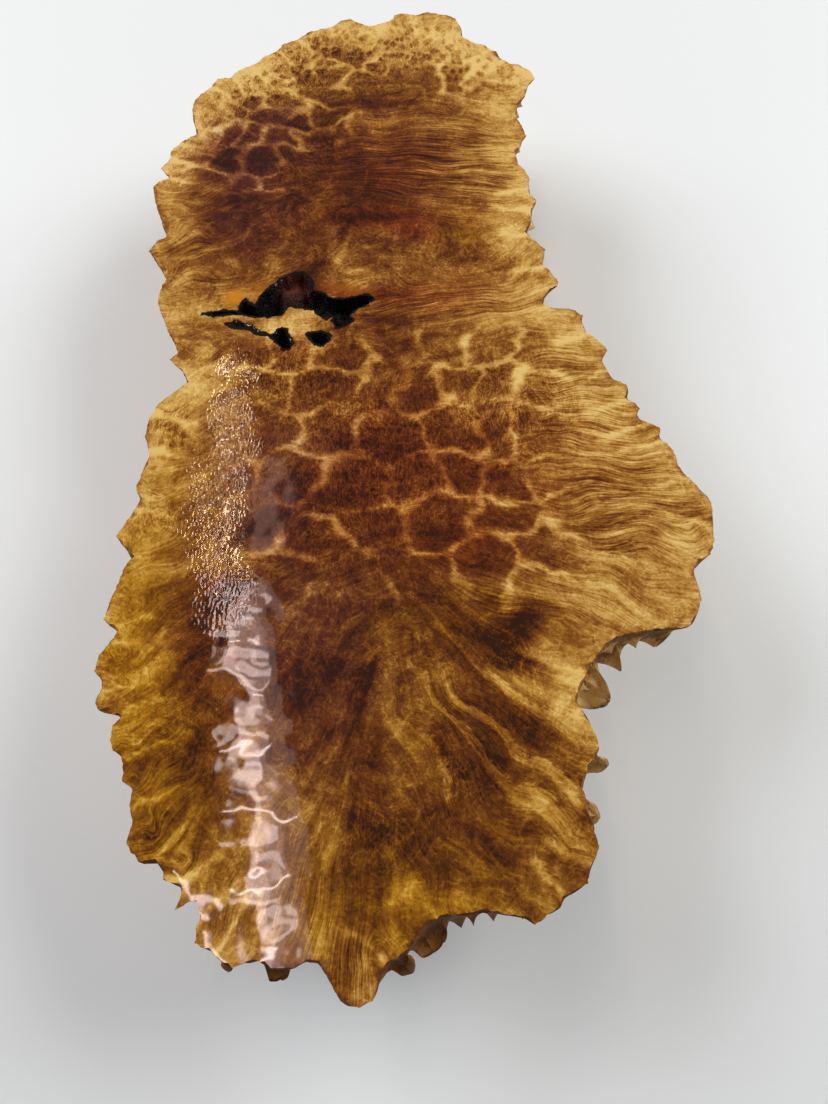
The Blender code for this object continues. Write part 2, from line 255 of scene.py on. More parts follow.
DARK = ovals(
    (-73, -160, 10, 12, 0.14), (7, 10, 11, 26, 0.15), (-18, 0, 10, 9, 0.13), (-46, -36, 9, 8, 0.14),
    (-42, -72, 6, 7, 0.14), (-62, -194, 15, 8, 0.16, 25), (-36, -207, 16, 6, 0.20, 5),
    (-2, -205, 22, 6, 0.20), (24, -196, 12, 4, 0.20, 12), (38, 1, 7, 6, 0.12),
    (63, -52, 12, 5, 0.26, 8), (48, -103, 9, 5, 0.14, -15), (-45, 105, 34, 42, 0.14),
    (24, 126, 24, 3, 0.14, -2), (26, 107, 24, 3, 0.26), (22, 95, 26, 3.5, 0.26, 2),
    (30, 85, 20, 3, 0.20, 3), (45, -157, 9, 8, 0.40, -10), (25, -150, 50, 50, 0.13),
    (-10, -190, 34, 25, 0.24), (10, -30, 16, 14, -0.10), (0, -64, 40, 18, 0.10),
    (56, -172, 9, 18, 0.50), (8, -150, 20, 20, 0.10), (-70, 128, 19, 22, 0.38),
    (-72, 105, 17, 15, 0.46), (-48, 138, 14, 10, 0.42), (-22, 150, 18, 9, 0.40, -10),
    (-40, 164, 9, 8, 0.12), (-12, 118, 22, 14, 0.36), (-15, 95, 24, 12, 0.46), (-5, 78, 27, 8, 0.40),
    (6, 142, 12, 5, 0.20), (-45, 100, 20, 16, 0.34), (-60, 84, 15, 12, 0.34), (-65, 62, 11, 16, 0.30),
    (8, 61, 24, 14, 0.26), (-38, 60, 10, 12, 0.20), (78, -20, 20, 26, 0.12), (-32, 122, 14, 10, 0.22),
    (-25, -14, 32, 14, 0.26), (-5, -28, 26, 18, 0.20), (-20, -50, 30, 18, 0.32),
    (26, -62, 26, 22, 0.22), (-5, -80, 30, 14, 0.32), (52, -28, 8, 5, 0.06), (36, -50, 9, 7, 0.08),
    (48, -76, 9, 6, 0.18), (-45, -62, 14, 14, 0.26), (-32, -110, 24, 24, 0.44),
    (-12, -122, 14, 14, 0.30), (12, -100, 30, 9, 0.38, -5), (-20, -148, 18, 14, 0.24),
    (14, -152, 10, 9, 0.16), (-5, -172, 12, 8, 0.28), (25, -112, 12, 8, 0.30), (40, -113, 10, 6, 0.22),
    (37, -136, 16, 4.5, 0.26, -26), (41, -112, 12, 7, 0.66, -8), (42, 1, 8, 6, 0.20),
    (24, -168, 17, 3.2, 0.24, -24), (37, -183, 9, 9, 0.40), (47, -164, 9, 9, 0.26),
    (8, -176, 11, 8, 0.22), (76, -16, 24, 22, 0.10), (45, 38, 28, 8, 0.14), (0, -40, 56, 40, 0.09),
    (10, 118, 26, 12, 0.10), (-60, -128, 7, 15, 0.30), (-24, 140, 11, 9, 0.22), (-33, 46, 10, 6, 0.55),
    (2, 31, 16, 14, 0.62), (8, 1, 9, 8, 0.26), (-77, -68, 9, 8, 0.22), (32, -85, 9, 7, 0.40),
    (-40, 22, 6, 4, 0.16), (-80, 78, 11, 20, 0.22), (-82, 12, 6, 12, 0.22), (-58, 76, 22, 30, 0.15),
    (-10, -108, 10, 14, 0.12), (42, 104, 10, 12, 0.10), (-68, -105, 9, 15, 0.42),
    (-64, -135, 12, 13, 0.30), (-60, -160, 14, 12, 0.20), (-50, -185, 8, 12, 0.25),
    (-78, -92, 12, 10, 0.22), (20, -178, 18, 9, 0.16, -20),
)
PALE = ovals(
    (-74, 80, 9, 8, 0.12), (36, -124, 13, 4, 0.14, -20), (-30, -128, 8, 9, 0.12),
    (82, -70, 9, 8, 0.20), (-82, -62, 7, 14, 0.12), (24, -10, 10, 8, 0.08),
    (30, -102, 12, 5, 0.18, -10), (22, -164, 18, 12, 0.14, -30), (-22, -128, 9, 10, 0.08),
    (36, -142, 12, 5, 0.10, -26), (-80, 62, 8, 12, 0.10), (-68, 172, 18, 13, 0.15, 30),
    (-88, 158, 8, 10, 0.12), (53, -6, 13, 8, 0.12), (28, 8, 8, 6, 0.10), (-22, -182, 9, 16, 0.30),
    (35, -145, 16, 12, 0.08, -20), (72, -102, 14, 6, 0.10), (36, -150, 12, 4, 0.14, -24),
    (46, -127, 12, 3.5, 0.18, -20), (52, -117, 10, 5, 0.22, -15), (59, -148, 5, 8, 0.16),
    (5, -188, 9, 7, 0.26), (22, -186, 16, 4, 0.12, -20), (50, -27, 20, 26, 0.22),
    (45, 25, 12, 8, 0.08), (5, 192, 32, 11, 0.09), (40, 152, 14, 18, 0.22), (45, 60, 11, 22, 0.18),
    (-20, 58, 4, 8, 0.26, 30), (-15, 47, 8, 5, 0.20, -30), (62, 12, 18, 16, 0.15),
    (80, -30, 18, 26, 0.16), (78, -90, 26, 10, 0.24, -10), (50, -95, 18, 5, 0.24, -18),
    (53, -122, 7, 14, 0.20), (56, -150, 7, 7, 0.12, -15), (-78, 2, 10, 16, 0.20),
    (-93, 60, 10, 22, 0.14), (-43, 21, 19, 6, 0.52), (-80, 27, 18, 5, 0.18), (7, -118, 10, 14, 0.16),
    (5, -190, 10, 5, 0.20, 30), (-3, -128, 5, 20, 0.14, 8), (-75, 175, 22, 12, 0.10, 35),
)
# Broad light and dark bands: the wood's figure, with its chatoyant sheen painted in as tone
SHEEN_BANDS = ovals(
    (34, -146, 44, 46, 1.0), (-40, -182, 30, 24, 0.5), (-92, 70, 18, 50, 0.7), (84, -84, 26, 18, 0.6),
    (-86, -130, 22, 40, 0.5), (20, 40, 40, 14, 0.4),
)
PURPLE = ovals(
    (-70, 118, 22, 26, 0.85), (-50, 138, 12, 10, 0.5), (-66, 78, 14, 24, 0.6),
    (-32, -110, 28, 28, 0.75), (-45, -60, 15, 16, 0.6), (-28, -32, 13, 9, 0.5),
    (-48, -32, 10, 12, 0.4), (-25, -145, 20, 18, 0.3),
)
OLIVE = ovals(
    (-75, -155, 30, 42, 1.0), (-88, -100, 16, 32, 0.9), (-86, -45, 12, 34, 0.4),
    (25, -150, 50, 46, 0.55), (0, -192, 45, 20, 0.8), (22, 70, 10, 10, 0.6), (-12, 156, 16, 6, 0.6),
    (15, -104, 34, 10, 0.5),
)
RED = ovals(
    (-10, 106, 27, 28, 0.6), (-5, 76, 26, 8, 0.8), (-24, 40, 15, 5, 1.0, -10), (5, 35, 30, 8, 0.7),
    (0, -45, 54, 38, 0.65), (-68, -108, 9, 18, 0.6), (-60, -130, 9, 18, 0.7), (25, -78, 16, 8, 0.5),
    (-40, 10, 26, 8, 0.3),
)
EYES = ovals(
    (-48, 176, 36, 24, 0.9, -20), (8, 182, 42, 24, 0.75, -10), (-75, 152, 26, 18, 0.85, 30),
    (-58, 122, 32, 28, 0.75), (-97, 115, 10, 22, 0.5), (-14, -40, 58, 48, 0.95),
    (42, -12, 22, 26, 0.75), (-88, -28, 9, 11, 1.0), (-88, -68, 8, 9, 0.8), (-25, -118, 26, 22, 0.35),
    (37, -115, 10, 7, 0.8), (15, -152, 10, 8, 0.8), (-5, -172, 11, 9, 0.6), (-65, -138, 14, 24, 0.45),
    (-90, -112, 8, 9, 0.8), (-45, 2, 26, 12, 0.8),
)
GUM = ovals(
    (-67.5, 33.7, 4.2, 3.6, 1.0), (-56.0, 36.0, 5.5, 6.0, 0.45, 60),
    (-24.0, 39.0, 10.0, 2.2, 0.3, -12),
)
PIPS = ovals(
    (-5, 188, 62, 20, 1.0, -5), (-62, 165, 22, 16, 0.9, 35), (-90, 135, 14, 18, 0.6, 20),
    (40, 165, 20, 16, 0.5), (-88, -35, 12, 20, 0.6), (45, 5, 24, 14, 0.4), (60, -30, 14, 22, 0.4),
)
FILM = ovals(
    (-45, -150, 50, 58, 1.0), (-40, -100, 40, 40, 0.7), (0, -165, 60, 30, 0.4),
    (-58, -190, 22, 20, 1.0), (-8, -192, 34, 24, 1.0),
)
DAMP = ovals(
    (-61, 2, 7, 12, 0.8), (-63, -26, 9, 20, 0.9), (-70, -58, 15, 24, 0.9), (-63, -90, 9, 13, 0.8),
    (86, -58, 8, 7, 0.5),
)
STREAKS = ovals(
    (18, 110, 46, 30, 1.0), (70, -18, 26, 46, 0.9), (86, -66, 26, 24, 0.9), (22, 32, 42, 11, 0.9),
    (48, -96, 38, 14, 0.5, -12), (40, -150, 30, 36, 0.25), (-12, -205, 10, 14, 1.0),
    (-96, 80, 16, 46, 0.5), (-80, 55, 20, 22, 0.4), (-80, -165, 18, 26, 0.6), (-78, -60, 14, 44, 0.4),
    (-30, -190, 12, 14, 0.6),
)

# Middles and sizes of the larger eye cells, which golden wood divides
CELLS = [
    (-52, -8, 8), (-30, -9, 12), (-8, -10, 9), (8, -10, 10), (22, -8, 8), (35, -8, 7), (48, -10, 7),
    (-48, -28, 10), (-28, -32, 12), (-2, -31, 11), (18, -28, 10), (32, -30, 8), (52, -29, 11),
    (-58, -45, 8), (-40, -45, 11), (-20, -50, 13), (2, -48, 11), (20, -47, 10), (38, -50, 10),
    (55, -50, 9), (-50, -62, 12), (-28, -70, 10), (-8, -68, 12), (12, -65, 12), (32, -66, 10),
    (50, -76, 10), (-40, -85, 12), (-15, -88, 10), (5, -86, 12), (26, -82, 10), (45, -88, 8),
    (64, -62, 9), (-60, 8, 8), (-42, 4, 9), (-22, 6, 10), (-2, 8, 9), (18, 10, 9), (34, 8, 8),
    (50, 5, 8), (-88, -28, 9), (-88, -48, 8), (-88, -68, 8), (-86, -92, 9), (-91, -112, 8),
    (-72, -120, 9), (-40, 166, 9), (-24, 164, 6), (-36, 153, 6), (6, 168, 10), (24, 167, 8),
    (36, 165, 6), (-52, 172, 6), (-88, 140, 6), (-76, 142, 6), (-63, 138, 6), (-50, 137, 6),
    (-38, 142, 6), (-93, 128, 6), (-81, 128, 7), (-68, 126, 7), (-54, 125, 6), (-41, 128, 6),
    (-29, 131, 5), (-88, 114, 6), (-76, 113, 7), (-62, 112, 7), (-48, 114, 6), (-84, 101, 6),
    (-72, 99, 6), (-59, 98, 6), (-20, 134, 6), (-66, 86, 6), (-8, 140, 6), (-70, 150, 6),
    (-55, 150, 5), (-28, 178, 6), (-18, 174, 5), (-12, 195, 7), (12, 205, 9), (-35, 195, 7),
]

# Which way the grain steps across its fibres: a place and the compass of that step in degrees
GRAIN = [
    (-100, 150, 60), (-104, 110, 85), (-104, 90, 95), (-98, 68, 125), (-88, 48, 130), (-75, 60, 150),
    (-60, 58, 165), (-42, 62, 200), (-85, 130, 70), (-70, 170, 35), (-45, 195, 15), (-10, 205, 0),
    (25, 195, 150), (50, 172, 120), (35, 145, 60), (45, 128, 84), (0, 125, 90), (40, 110, 92),
    (0, 105, 90), (48, 90, 98), (0, 88, 92), (30, 78, 95), (10, 60, 0), (38, 62, 160), (52, 45, 130),
    (30, 34, 104), (0, 34, 98), (-10, 24, 108), (30, 22, 105), (55, 22, 85), (70, 5, 87),
    (72, -20, 85), (88, -38, 86), (98, -60, 90), (80, -72, 98), (92, -92, 72), (70, -98, 62),
    (50, -92, 66), (30, -94, 76), (14, -100, 52), (22, -112, 50), (45, -114, 76), (60, -126, 86),
    (40, -128, 72), (24, -130, 52), (10, -126, 18), (58, -148, 84), (40, -146, 68), (24, -148, 46),
    (10, -150, 12), (52, -168, 72), (34, -166, 54), (18, -168, 30), (44, -186, 62), (28, -186, 48),
    (12, -188, 22), (3, -202, 4), (-14, -208, 178), (-5, -126, 6), (-5, -140, 6), (-5, -155, 6),
    (-5, -170, 6), (-5, -186, 4), (-16, -112, 172), (-14, -126, 174), (-14, -140, 174),
    (-14, -155, 174), (-14, -170, 175), (-14, -186, 176), (-30, -195, 170), (-45, -192, 165),
    (-30, -165, 168), (-60, -185, 145), (-72, -172, 135), (-80, -155, 122), (-85, -135, 112),
    (-95, -115, 95), (-60, -160, 148), (-68, -130, 132), (-72, -105, 135), (-92, -85, 115),
    (-90, -60, 80), (-92, -40, 88), (-90, -18, 96), (-80, 0, 140), (-70, -75, 140), (-72, -25, 120),
    (-60, -50, 130), (-90, 25, 92), (-70, 30, 95), (-30, 45, 120), (-20, 20, 95), (-50, 20, 95),
    (-75, 105, 75), (-40, 110, 100), (-60, 140, 50), (-20, 145, 100), (0, -50, 100), (-30, -30, 70),
    (30, -30, 110), (-35, -100, 140), (-25, -145, 165), (-45, -130, 150), (-20, -85, 110),
]

# Middles and sizes of single eyes that the fibres swing round
SWIRLS = ((6, -114, 5.0), (-88, -68, 6.5), (-90, -112, 5.5), (3, -135, 5.0), (7, 168, 8.0))


class GrainFlow:
    """Reads how far a point lies across the fibres, from the steps listed in GRAIN.

    The distance is a smooth function over a grid whose slope follows the steps, so its contour
    lines are the fibres. SPACING, HALF_WIDE and HALF_LONG are the grid's, in millimetres. A step
    reaches REACH millimetres, blunted by NEAREST near its place, and fades with the power FADE.
    ALONG and ACROSS weigh the slope along and across the fibres in the ROUNDS of the fit.
    """

    SPACING = 2.5
    HALF_WIDE = 120.0
    HALF_LONG = 225.0
    REACH = 16.0
    NEAREST = 0.06
    FADE = 2.5
    ALONG = 1.0
    ACROSS = 0.12
    ROUNDS = 420

    def __init__(self) -> None:
        """Solves the grid."""
        self.xs = np.arange(-self.HALF_WIDE, self.HALF_WIDE + 0.1, self.SPACING)
        self.ys = np.arange(-self.HALF_LONG, self.HALF_LONG + 0.1, self.SPACING)
        self.step_x, self.step_y = self.steps()
        self.across = self.solve()

    def steps(self) -> tuple[np.ndarray, np.ndarray]:
        """Blends the listed steps over the grid.

        Returns:
            The two parts of the unit step at each grid point.
        """
        grid_x, grid_y = np.meshgrid(self.xs, self.ys, indexing="ij")
        sum_x = np.zeros_like(grid_x)
        sum_y = np.zeros_like(grid_x)
        for x, y, compass in GRAIN:
            far = ((grid_x - x) ** 2 + (grid_y - y) ** 2) / self.REACH**2
            weight = 1.0 / (far + self.NEAREST) ** self.FADE
            sum_x += weight * math.cos(math.radians(compass))
            sum_y += weight * math.sin(math.radians(compass))
        length = np.hypot(sum_x, sum_y) + 1e-6
        return sum_x / length, sum_y / length

    def pull(self, values: np.ndarray) -> np.ndarray:
        """Applies the squared slope operator of the fit to a grid of values."""
        return self.gather(*self.weigh(*self.slope(values)))

    def slope(self, values: np.ndarray) -> tuple[np.ndarray, np.ndarray]:
        """Takes forward differences of a grid of values, zero past its end.

        Args:
            values: The grid's values.

        Returns:
            The slope along x and along y.
        """
        slope_x = np.zeros_like(values)
        slope_y = np.zeros_like(values)
        slope_x[:-1] = (values[1:] - values[:-1]) / self.SPACING
        slope_y[:, :-1] = (values[:, 1:] - values[:, :-1]) / self.SPACING
        return slope_x, slope_y

    def weigh(self, part_x: np.ndarray, part_y: np.ndarray) -> tuple[np.ndarray, np.ndarray]:
        """Weighs a slope heavily along the fibres and lightly across them.

        Args:
            part_x: The slope along x.
            part_y: The slope along y.

        Returns:
            The weighed slope along x and along y.
        """
        across = part_x * self.step_x + part_y * self.step_y
        along = part_y * self.step_x - part_x * self.step_y
        across, along = across * self.ACROSS, along * self.ALONG
        return across * self.step_x - along * self.step_y, across * self.step_y + along * self.step_x

    def gather(self, part_x: np.ndarray, part_y: np.ndarray) -> np.ndarray:
        """Adds up weighed slopes at the grid points, the transpose of slope.

        Args:
            part_x: The weighed slope along x.
            part_y: The weighed slope along y.

        Returns:
            The sum at each grid point.
        """
        total = np.zeros_like(part_x)
        total[1:] += part_x[:-1] / self.SPACING
        total[:-1] -= part_x[:-1] / self.SPACING
        total[:, 1:] += part_y[:, :-1] / self.SPACING
        total[:, :-1] -= part_y[:, :-1] / self.SPACING
        return total

    def solve(self) -> np.ndarray:
        """Fits the distance across the fibres by conjugate gradients.

        Returns:
            The distance in millimetres at each grid point.
        """
        wanted = self.gather(*self.weigh(self.step_x, self.step_y))
        values = np.zeros_like(wanted)
        left = wanted - self.pull(values)
        way = left.copy()
        size = float((left * left).sum())
        for _ in range(self.ROUNDS):
            pulled = self.pull(way)
            share = size / (float((way * pulled).sum()) + 1e-12)
            values += share * way
            left -= share * pulled
            smaller = float((left * left).sum())
            way = left + (smaller / (size + 1e-12)) * way
            size = smaller
        return values

    def read(self, grid: np.ndarray, points: np.ndarray) -> np.ndarray:
        """Reads a grid of values between its points.

        Args:
            grid: The grid's values.
            points: Plan points in millimetres.

        Returns:
            The value at each point.
        """
        place_x = np.clip((points[:, 0] - self.xs[0]) / self.SPACING, 0, len(self.xs) - 1.001)
        place_y = np.clip((points[:, 1] - self.ys[0]) / self.SPACING, 0, len(self.ys) - 1.001)
        left, low = place_x.astype(int), place_y.astype(int)
        part_x, part_y = place_x - left, place_y - low
        below = grid[left, low] * (1 - part_x) + grid[left + 1, low] * part_x
        above = grid[left, low + 1] * (1 - part_x) + grid[left + 1, low + 1] * part_x
        return below * (1 - part_y) + above * part_y


@dataclass
class SawnFace:
    """The figure of the sawn face, worked out at any of its points.

    Attributes:
        flow: The grain, read across the fibres.
        edge: The live edge's plan points in order.
        rim_fade: Width of the pale band inside the live edge, in millimetres.
        base_tone: The tone of plain wood, away from all patches.
        dark_share: The most that the dark patches add to it.
        dark_rate: How fast they add up to that.
        pale_share: How much a pale patch takes away.
        rim_pale: How much the live edge takes away.
        cone_depth: How far inside the live edge a lobe's middle lies, in millimetres.
        web_squash: How much more a step along x or y counts between the eye cells.
        cell_turn: Random values for the width of the webs.
        tone_drift: Random values for the tone.
        feather: Random values for ragged borders.
        warp_x: Random values for bending the plane along x.
        warp_y: The same along y.
        middles: The middles of the lobes.
    """

    flow: GrainFlow
    edge: np.ndarray
    rim_fade: float = 13.0
    base_tone: float = 0.555
    dark_share: float = 0.5
    dark_rate: float = 1.25
    pale_share: float = 0.75
    rim_pale: float = 0.22
    cone_depth: float = 7.0
    web_squash: Place = (1.0, 1.35)
    cell_turn: Drift = Drift(11)
    tone_drift: Drift = Drift(12)
    feather: Drift = Drift(13)
    warp_x: Drift = Drift(14)
    warp_y: Drift = Drift(15)
    middles: np.ndarray = field(init=False)

    def __post_init__(self) -> None:
        """Finds the lobes of the live edge."""
        self.middles = self.lobes()

    def in_lobe(self, points: np.ndarray, reach: float) -> np.ndarray:
        """How near a point is to the middle of a lobe, from 1 there to 0.

        Args:
            points: Plan points in millimetres.
            reach: The lobe's half width in millimetres.

        Returns:
            The nearness of each point.
        """
        far = np.linalg.norm(points[:, None] - self.middles[None], axis=2).min(axis=1)
        leftward = 0.25 + 0.75 * ease(-40.0, -70.0, points[:, 0]) * ease(40.0, 10.0, points[:, 1])
        return leftward * np.exp(-((far / reach) ** 2))

    def across(self, points: np.ndarray) -> np.ndarray:
        """Distance across the fibres, bent round the eyes.

        Args:
            points: Plan points in millimetres.

        Returns:
            The distance in millimetres.
        """
        plain = self.flow.read(self.flow.across, points)
        eyes = np.clip(spread(EYES, points), 0.0, 1.0)
        plain += 1.6 * eyes * self.warp_x.at(points, 5.0) + 2.4 * self.warp_y.at(points, 13.0)
        bend = np.column_stack([self.warp_x.rough(points, 7.0), self.warp_y.rough(points, 7.0)])
        bent = points + 3.0 * bend
        for x, y, reach in SWIRLS:
            far = ((bent[:, 0] - x) ** 2 + (bent[:, 1] - y) ** 2) / reach**2
            plain += 1.1 * reach * np.exp(-far)
        return plain + 3.6 * self.in_lobe(bent, 4.6)

    def feathered(self, points: np.ndarray, reach: float) -> np.ndarray:
        """Shifts points along their fibres, a different way on each fibre, for ragged borders.

        Args:
            points: Plan points in millimetres.
            reach: The longest shift in millimetres.

        Returns:
            The shifted points.
        """
        step_x = self.flow.read(self.flow.step_x, points)
        step_y = self.flow.read(self.flow.step_y, points)
        across = self.across(points)
        line = np.column_stack([across, 0.06 * (points[:, 0] * step_y - points[:, 1] * step_x)])
        shift = reach * (self.feather.at(line, 2.6) + 0.7 * self.feather.at(line + 50.0, 7.0))
        along = np.column_stack([-step_y, step_x])
        wander = np.column_stack([self.warp_x.rough(points, 19.0), self.warp_y.rough(points, 19.0)])
        return points + along * shift[:, None] + 4.0 * wander

    def tone(self, points: np.ndarray, rim: np.ndarray) -> np.ndarray:
        """How dark the wood is, from 0 pale gold to 1 near black.

        Args:
            points: Plan points in millimetres.
            rim: Distance of each point from the live edge.

        Returns:
            The tone at each point.
        """
        moved = self.feathered(points, 8.0)
        dark = self.dark_share * (1.0 - np.exp(-self.dark_rate * spread(DARK, moved)))
        base = self.base_tone + 0.10 * self.tone_drift.rough(points, 22.0)
        base += 0.05 * self.tone_drift.at(points + 90.0, 5.0)
        tone = base + dark - self.pale_share * spread(PALE, moved)
        reach = self.rim_fade * (1.0 + 0.35 * self.tone_drift.at(points + 40.0, 17.0))
        edge = 0.20 * ease(-0.2, 0.6, self.tone_drift.at(points + 60.0, 3.5)) * (1.0 - ease(0.2, 1.8, rim))
        return np.clip(tone + edge - self.rim_pale * np.exp(-((rim / reach) ** 2)), 0.02, 1.0)

    def lobes(self) -> np.ndarray:
        """Finds the cones that the saw cut open at the live edge.

        Returns:
            A middle inside each of them, in plan millimetres.
        """
        count = len(self.edge)
        wave = np.abs(np.fft.fftfreq(count))
        length = np.linalg.norm(self.edge - np.roll(self.edge, 1, axis=0), axis=1).mean()
        keep = np.exp(-((wave * 34.0 / length) ** 2))
        calm = np.column_stack([np.fft.ifft(np.fft.fft(part) * keep).real for part in self.edge.T])
        run = np.roll(calm, -2, axis=0) - np.roll(calm, 2, axis=0)
        run /= np.linalg.norm(run, axis=1)[:, None]
        turned = ((calm - calm.mean(axis=0)) * np.column_stack([run[:, 1], -run[:, 0]])).sum() > 0
        outward = np.column_stack([run[:, 1], -run[:, 0]]) * (1.0 if turned else -1.0)
        reach = ((self.edge - calm) * outward).sum(axis=1)
        window = max(2, round(4.5 / length))
        around = [(np.arange(-window, window + 1) + index) % count for index in range(count)]
        peaks = [index for index in range(count) if reach[index] >= reach[around[index]].max()]
        return np.array([self.edge[i] - self.cone_depth * outward[i] for i in peaks if reach[i] > 0.2])

    def webs(self, points: np.ndarray, rim: np.ndarray) -> np.ndarray:
        """The golden lines between the eye cells and between the lobes.

        Args:
            points: Plan points in millimetres.
            rim: Distance of each point from the live edge.

        Returns:
            The line's strength at each point, 1 on a line and 0 inside a cell.
        """
        moved = self.bent(points)
        wide = 4.4 + 2.0 * self.cell_turn.at(points, 9.0)
        cells = self.lines(moved, np.array(CELLS, float), self.web_squash, wide)
        broken = ease(-1.1, 0.25, self.tone_drift.at(points + 7.0, 11.0))
        middles = np.column_stack([self.middles, np.full(len(self.middles), 6.0)])
        bent = points + 0.5 * (moved - points)
        thin = 2.6 + 1.2 * self.cell_turn.at(points, 6.0)
        lobes = self.lines(bent, middles, (1.0, 1.0), thin)
        return np.maximum(cells * broken, 0.8 * lobes * (1.0 - ease(12.0, 24.0, rim)))

    @staticmethod
    def lines(points: np.ndarray, cells: np.ndarray, squash: Place, width: np.ndarray) -> np.ndarray:
        """Draws the lines half way between neighbouring cells.

        Args:
            points: Plan points in millimetres.
            cells: The cells' middles and sizes.
            squash: How much more a step along x or y counts.
            width: The line's width at each point.

        Returns:
            1 on a line, 0 away from it.
        """
        middles, sizes = cells[:, :2], cells[:, 2]
        far = np.linalg.norm((points[:, None] - middles[None]) * squash, axis=2) - sizes[None]
        order = np.argpartition(far, 1, axis=1)[:, :2]
        row = np.arange(len(points))
        near, second = far[row, order[:, 0]], far[row, order[:, 1]]
        step = middles[order[:, 1]] - middles[order[:, 0]]
        sideways = step[:, 0] ** 2 / ((step**2).sum(axis=1) + 1e-9)
        line = 1.0 - ease(0.15, 1.0, (second - near) / width)
        return line * (1.0 - 0.10 * sideways) * (1.0 - ease(3.0, 10.0, near))

    def bent(self, points: np.ndarray) -> np.ndarray:
        """Bends the plane so that the eye cells are uneven.

        Args:
            points: Plan points in millimetres.

        Returns:
            The bent points.
        """
        broad_x, broad_y = self.warp_x.rough(points + 70.0, 16.0), self.warp_y.rough(points + 30.0, 16.0)
        broad = np.column_stack([broad_x, broad_y])
        fine = np.column_stack([self.warp_x.at(points + 20.0, 4.5), self.warp_y.at(points + 90.0, 4.5)])
        return points + 4.5 * broad + 1.0 * fine

    def inside_cells(self, points: np.ndarray) -> np.ndarray:
        """How far inside an eye cell a point lies.

        Args:
            points: Plan points in millimetres.

        Returns:
            0 outside the cells and at a border, and up to 1 inside.
        """
        cells = np.array(CELLS, float)
        away = (self.bent(points)[:, None] - cells[None, :, :2]) * self.web_squash
        far = np.linalg.norm(away, axis=2) / cells[None, :, 2]
        return 1.0 - ease(0.55, 1.25, far.min(axis=1))

    def char(self, points: np.ndarray) -> np.ndarray:
        """The black stain round the hollows of the bark pocket.

        Args:
            points: Plan points in millimetres.

        Returns:
            The stain's strength, from 1 at a hollow's edge to 0.
        """
        near = np.zeros(len(points))
        pocket = np.flatnonzero((np.abs(points - POCKET_MIDDLE) < POCKET_REACH).all(axis=1))
        for _, outline in HOLLOWS.values():
            gap = outline_gap(points[pocket], np.array(outline, float))
            reach = 1.7 + 1.1 * self.tone_drift.at(points[pocket], 1.8)
            near[pocket] = np.maximum(near[pocket], 1.0 - ease(0.0, 1.0, -gap / np.maximum(reach, 0.3)))
        return near

    def attributes(self, points: np.ndarray, rim: np.ndarray) -> dict[str, np.ndarray]:
        """Works out all that the shader reads at points of the sawn face.

        Args:
            points: Plan points in millimetres.
            rim: Distance of each point from the live edge.

        Returns:
            The values by attribute name.
        """
        soft = self.feathered(points, 2.5)
        regions = {
            "purple": PURPLE, "olive": OLIVE, "red": RED, "eyes": EYES, "pips": PIPS, "film": FILM,
            "bands": SHEEN_BANDS, "damp": DAMP,
        }
        values = {name: np.clip(spread(patches, soft), 0.0, 1.0) for name, patches in regions.items()}
        return values | {
            "across": self.across(points),
            "tone": self.tone(points, rim),
            "web": self.webs(points, rim),
            "cell": self.inside_cells(points),
            "streaks": np.clip(spread(STREAKS, points), 0.0, 1.0) * ease(-6.0, 9.0, rim),
            "lobe": self.in_lobe(points, 6.5),
            "gum": np.clip(spread(GUM, points), 0.0, 1.0),
            "char": self.char(points),
        }


# The tiling keeps only what lies inside the live edge, and points this near are one
INSIDE_ONLY = 1
SAME_PLACE = 1e-5

# The bark pocket in plan millimetres: where it is stained, where it is tiled finely, and its dome
POCKET_MIDDLE = (-45.0, 28.0)
POCKET_REACH = (40.0, 24.0)
POCKET_LOW = (-82.0, 6.0)
POCKET_HIGH = (-9.0, 50.0)
DOME_MIDDLE = (-45.0, 40.0)
DOME_HALF = (7.5, 5.0)
DOME_RISE = 4.5

# The pocket's hollows: depth, then outline
HOLLOWS = {
    "gum_hollow": (8.5, [
        (-79.5, 25.8), (-71, 27), (-65.5, 27), (-64.5, 30.5), (-63, 33), (-61.5, 30.5), (-59, 29.5),
        (-57, 35), (-53, 40), (-49.5, 44), (-45.5, 46), (-41.5, 47), (-38.5, 44.5), (-37, 41),
        (-37, 38), (-33, 36.2), (-29, 33.4), (-23.5, 33), (-19, 34.5), (-14.5, 35.5), (-12, 33),
        (-15.5, 30.4), (-19, 28.5), (-22, 25), (-20.5, 22.5), (-23.5, 20), (-26.5, 19), (-28, 22.5),
        (-27.5, 25), (-31, 23.4), (-33, 24.5), (-35.5, 28), (-39.5, 29), (-42.5, 29.5), (-45, 30.5),
        (-47, 28.5), (-48.5, 25.5), (-52, 24.5), (-57.5, 24.6), (-63, 25.5), (-70.5, 25.5),
        (-75.5, 24.7),
    ]),
    "bark_crack": (2.8, [
        (-70, 21), (-66.5, 22), (-63, 21), (-60.5, 19.7), (-56.5, 17.2), (-53, 15.2), (-57, 15.9),
        (-62.5, 18.7), (-67.5, 19.3),
    ]),
    "left_pit": (5.5, [
        (-51.8, 14.5), (-49.5, 17), (-48, 18.5), (-46, 18), (-45, 15), (-43.5, 11.5), (-44, 9),
        (-46.5, 8.5), (-49, 11.5),
    ]),
    "right_pit": (5.5, [
        (-38, 15.5), (-35.5, 16), (-33, 16.5), (-29.5, 15.5), (-29, 13), (-31.5, 10.5), (-34, 11),
        (-36, 13.5),
    ]),
}


